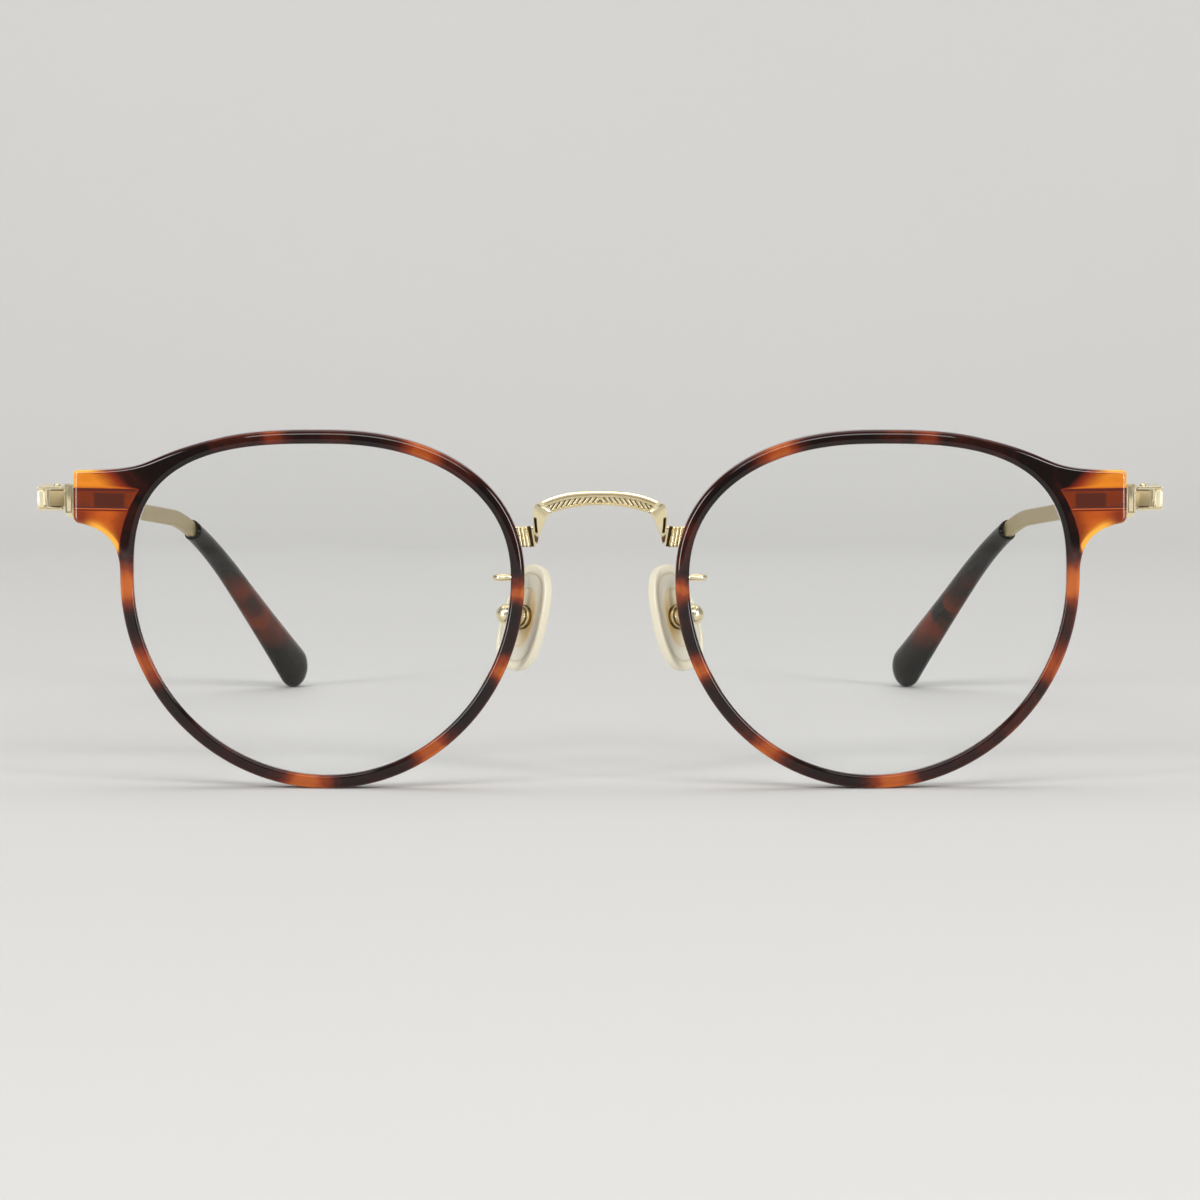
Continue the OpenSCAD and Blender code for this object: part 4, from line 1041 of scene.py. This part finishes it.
def pad_arm_mesh():
    bm = bmesh.new()
    # The cup: a ball cut off towards the pad, with a rounded lip and a slot
    bmesh.ops.create_uvsphere(bm, u_segments=48, v_segments=32, radius=cup_d / 2)
    bmesh.ops.bisect_plane(bm, geom=bm.verts[:] + bm.edges[:] + bm.faces[:], clear_outer=True,
                           plane_co=(0, 0, cut_share * cup_d), plane_no=(0, 0, 1), dist=1e-9)
    lip = sorted({v for e in bm.edges if e.is_boundary for v in e.verts},
                 key=lambda v: atan2(v.co.y, v.co.x))
    turns = [atan2(v.co.y, v.co.x) for v in lip]
    cut_r = cup_d * sqrt(0.25 - cut_share ** 2)
    slot = (tongue_t / 2 + 0.06 * MM, 0.8 * tongue_h)

    def slot_point(a, depth):
        reach = ((abs(cos(a)) / slot[0]) ** 6 + (abs(sin(a)) / slot[1]) ** 6) ** (-1 / 6)
        return Vector((reach * cos(a), reach * sin(a), depth))

    row = lip
    for share, depth in ((0.93, cut_share + 0.02), (0.86, cut_share + 0.03)):
        row = grown(bm, row)
        for v, a in zip(row, turns):
            v.co = (share * cut_r * cos(a), share * cut_r * sin(a), depth * cup_d)
    for depth in (cut_share + 0.025, cut_share, -0.28):
        row = grown(bm, row)
        for v, a in zip(row, turns):
            v.co = slot_point(a, depth * cup_d)
    capped(bm, row)
    bmesh.ops.transform(bm, matrix=cup_frame, verts=bm.verts)
    # The wire
    line = smooth_line(wire_line, 6)
    across_wire = Vector((1, 0, 0))
    rings = []
    for i, spot in enumerate(line):
        along = (line[min(i + 1, len(line) - 1)] - line[max(i - 1, 0)]).normalized()
        across_wire = (across_wire - across_wire.dot(along) * along).normalized()
        rings.append([spot + wire_d / 2 * (cos(a) * across_wire + sin(a) * along.cross(across_wire))
                      for a in (2 * pi * j / 16 for j in range(16))])
    rows = lofted(bm, rings)
    capped(bm, rows[0], rows[-1])
    return bm


for side, sign in SIDES.items():
    piece(f"wire_pad_arm_{side}", pad_arm_mesh(), "front", "pale_gold", bright_gold, f"pad_arm_{side}",
          sign=sign)
    piece(f"pad_cross_pin_{side}", softened(f"pad_pin_{side}", 0.03 * MM), "front", "pale_gold",
          bright_gold, f"pad_pin_{side}")

# The pad's core: a turned stem with five rings, a tongue that the cross pin
# passes through, and an oval plate that the pad is moulded over.


def pad_oval(share, count=96):
    """The pad's outline at a share of its size, a squared oval that is wider below."""
    return [Vector((share * p.x * (1 - 0.12 * p.y / (pad_l / 2)), share * p.y))
            for p in eased_oval(pad_w, pad_l, 2.5, count)]


def pad_core_mesh():
    bm = bmesh.new()
    recess_shade = bm.verts.layers.float.new("recess_shade")
    neck_end = 0.56 * cup_d
    ring_shares = (0.84, 0.74, 0.92, 0.8, 1)
    ring_l = (stem_len - plate_t - neck_end) / len(ring_shares)
    line = [(0, neck_end)]
    for i, share in enumerate(ring_shares):
        for round_share, up in ((0.93, 0.02), (0.98, 0.12), (1, 0.3),
                                (1, 0.7), (0.98, 0.88), (0.93, 0.98)):
            line.append((stem_d / 2 * share * round_share, neck_end + (i + up) * ring_l))
    line.append((0, neck_end + len(ring_shares) * ring_l))
    spots = [bm.verts.new((r, 0, z)) for r, z in line]
    for pair in zip(spots, spots[1:]):
        bm.edges.new(pair)
    bmesh.ops.spin(bm, geom=bm.verts[:] + bm.edges[:], cent=(0, 0, 0), axis=(0, 0, 1),
                   angle=2 * pi, steps=48, use_merge=True)
    bmesh.ops.remove_doubles(bm, verts=bm.verts, dist=0.001 * MM)
    # Painted shade in the grooves between the stem's rings
    for v in bm.verts:
        up = (v.co.z - neck_end) / ring_l % 1
        v[recess_shade] = 0.85 * (min(up, 1 - up) < 0.05)
    # The tongue, round at the pin
    top = neck_end + ring_l / 2
    outline = [(tongue_h / 2 * sin(a), -tongue_h / 2 * cos(a))
               for a in (pi * i / 16 - pi / 2 for i in range(17))]
    outline += [(tongue_h / 2, top), (-tongue_h / 2, top)]
    rings = [[Vector((x, share * u, share * w if w < top else w)) for u, w in outline]
             for x, share in ((-tongue_t / 2, 0.92), (-tongue_t / 2 + 0.05 * MM, 1),
                              (tongue_t / 2 - 0.05 * MM, 1), (tongue_t / 2, 0.92))]
    rows = lofted(bm, rings)
    capped(bm, rows[0], rows[-1])
    # The plate
    rows = lofted(bm, [[Vector((p.x, p.y, stem_len - plate_t + up * plate_t))
                        for p in pad_oval(share * plate_share)]
                       for share, up in ((0.97, 0), (1, 0.15), (1, 0.85), (0.97, 1))])
    capped(bm, rows[0], rows[-1])
    bmesh.ops.transform(bm, matrix=cup_frame, verts=bm.verts)
    return bm


both_sides("ringed_pad_stem", pad_core_mesh, "pad", "pale_gold", bright_gold, "pad_core")

# The nose pads: soft milky plastic moulded round the core's plate, hollow round
# the stem, with a rounded lip and a crowned face against the nose.
milky = Finish("milky_pad_plastic", IOR=1.42, Transmission_Weight=0.2,
               Coat_Weight=0.3, Coat_Roughness=0.1)
milk = milky.mix(milky.noise(milky.place(), 4 * MM), colour(236, 231, 214), colour(243, 239, 226))
# The lip's colour is partly its thicker milky plastic and partly a painted highlight; the line is partly
# painted shade, see the pad's section
milky.drive(Base_Color=milky.coated(milk, (milky.painted("plate") * 0.6, 246, 234, 200),
                                    (milky.painted("lip"), 255, 248, 224),
                                    (milky.painted("line"), 196, 158, 86)),
            Roughness=0.26 + milky.noise(milky.place(), 2 * MM) * 0.1,
            Normal=milky.bump(milky.noise(milky.place(), 1.2 * MM), 0.06, 0.02 * MM))


def nose_pad_mesh():
    """The pad from the hollow for its plate out over the back, the lip and the crown."""
    bm = bmesh.new()
    lip, plate, line = (bm.verts.layers.float.new(name) for name in ("lip", "plate", "line"))
    plate_back = pad_hollow - plate_t - seat_gap
    hole = stem_d / 2 + 0.06 * MM
    # Share of the outline (0 for the stem's round hole), height over the back, and
    # the shades of lip, plate, line and of the gold that shows beside the stem. The lip is
    # lighter partly for its thicker plastic and partly as a painted highlight on its rounding;
    # the line is painted shade in the groove at the lip's foot, and the plate's and hole's edges
    # elsewhere.
    back = 0.15 * pad_edge
    section = [(plate_share + 0.02, up, 0, 1, 0, 0) for up in (pad_hollow, plate_back)]
    section += [(0, up, 0, 1, 0.2, 0.9) for up in (plate_back, back + 0.08 * MM, back)]
    section += [(share, back, 0, *shades) for share, *shades in (
        (0.49, 1, 0, 0.9), (0.52, 1, 0, 0.8), (0.545, 0.7, 0.38, 0.6), (0.57, 0, 0, 0.4),
        (0.65, 0, 0, 0.1), (0.73, 0, 0, 0), (0.79, 0, 0, 0), (0.82, 0, 0.35, 0))]
    section += [(0.835, 0.9 * back, 0.2, 0, 0.35, 0), (0.855, 0.4 * back, 0.8, 0, 0, 0),
                (0.88, 0.1 * back, 1, 0, 0, 0)]
    section += [(share, up * pad_edge, 1, 0, 0, 0) for share, up in (
        (0.91, 0), (0.945, 0), (0.97, 0.03), (0.988, 0.09), (0.998, 0.18), (1, 0.3),
        (1, 0.55), (0.998, 0.7), (0.99, 0.82), (0.975, 0.91), (0.955, 0.97))]
    section += [(share, pad_edge + pad_crown * (1 - (share / crown_share) ** crown_power),
                 max(0, (share - 0.8) / (crown_share - 0.8)), 0, 0, 0)
                for share in (0.93, 0.9, 0.86, 0.81, 0.76, 0.7, 0.63, 0.56, 0.48, 0.4, 0.32, 0.24,
                              0.16, 0.08)]
    rings = []
    for share, up, *shades in section:
        wide = 2 * hole + (0.12 * MM if up == back else 0)
        outline = pad_oval(share) if share else eased_oval(wide, wide, 2, 96)
        rings.append([Vector((p.x, p.y, up)) for p in outline])
    rows = lofted(bm, rings)
    for row, (share, up, *shades) in zip(rows, section):
        for v in row:
            v[lip], v[plate], v[line] = shades[:3]
            v[line] = max(v[line], shades[3] * max(0, v.co.x / hypot(v.co.x, 0.6 * v.co.y)))
    capped(bm, rows[0], rows[-1])
    bmesh.ops.transform(bm, matrix=pad_frame, verts=bm.verts)
    return bm


both_sides("soft_nose_pad", nose_pad_mesh, "pad", "pad_silicone", milky.material, "nose_pad", 60)
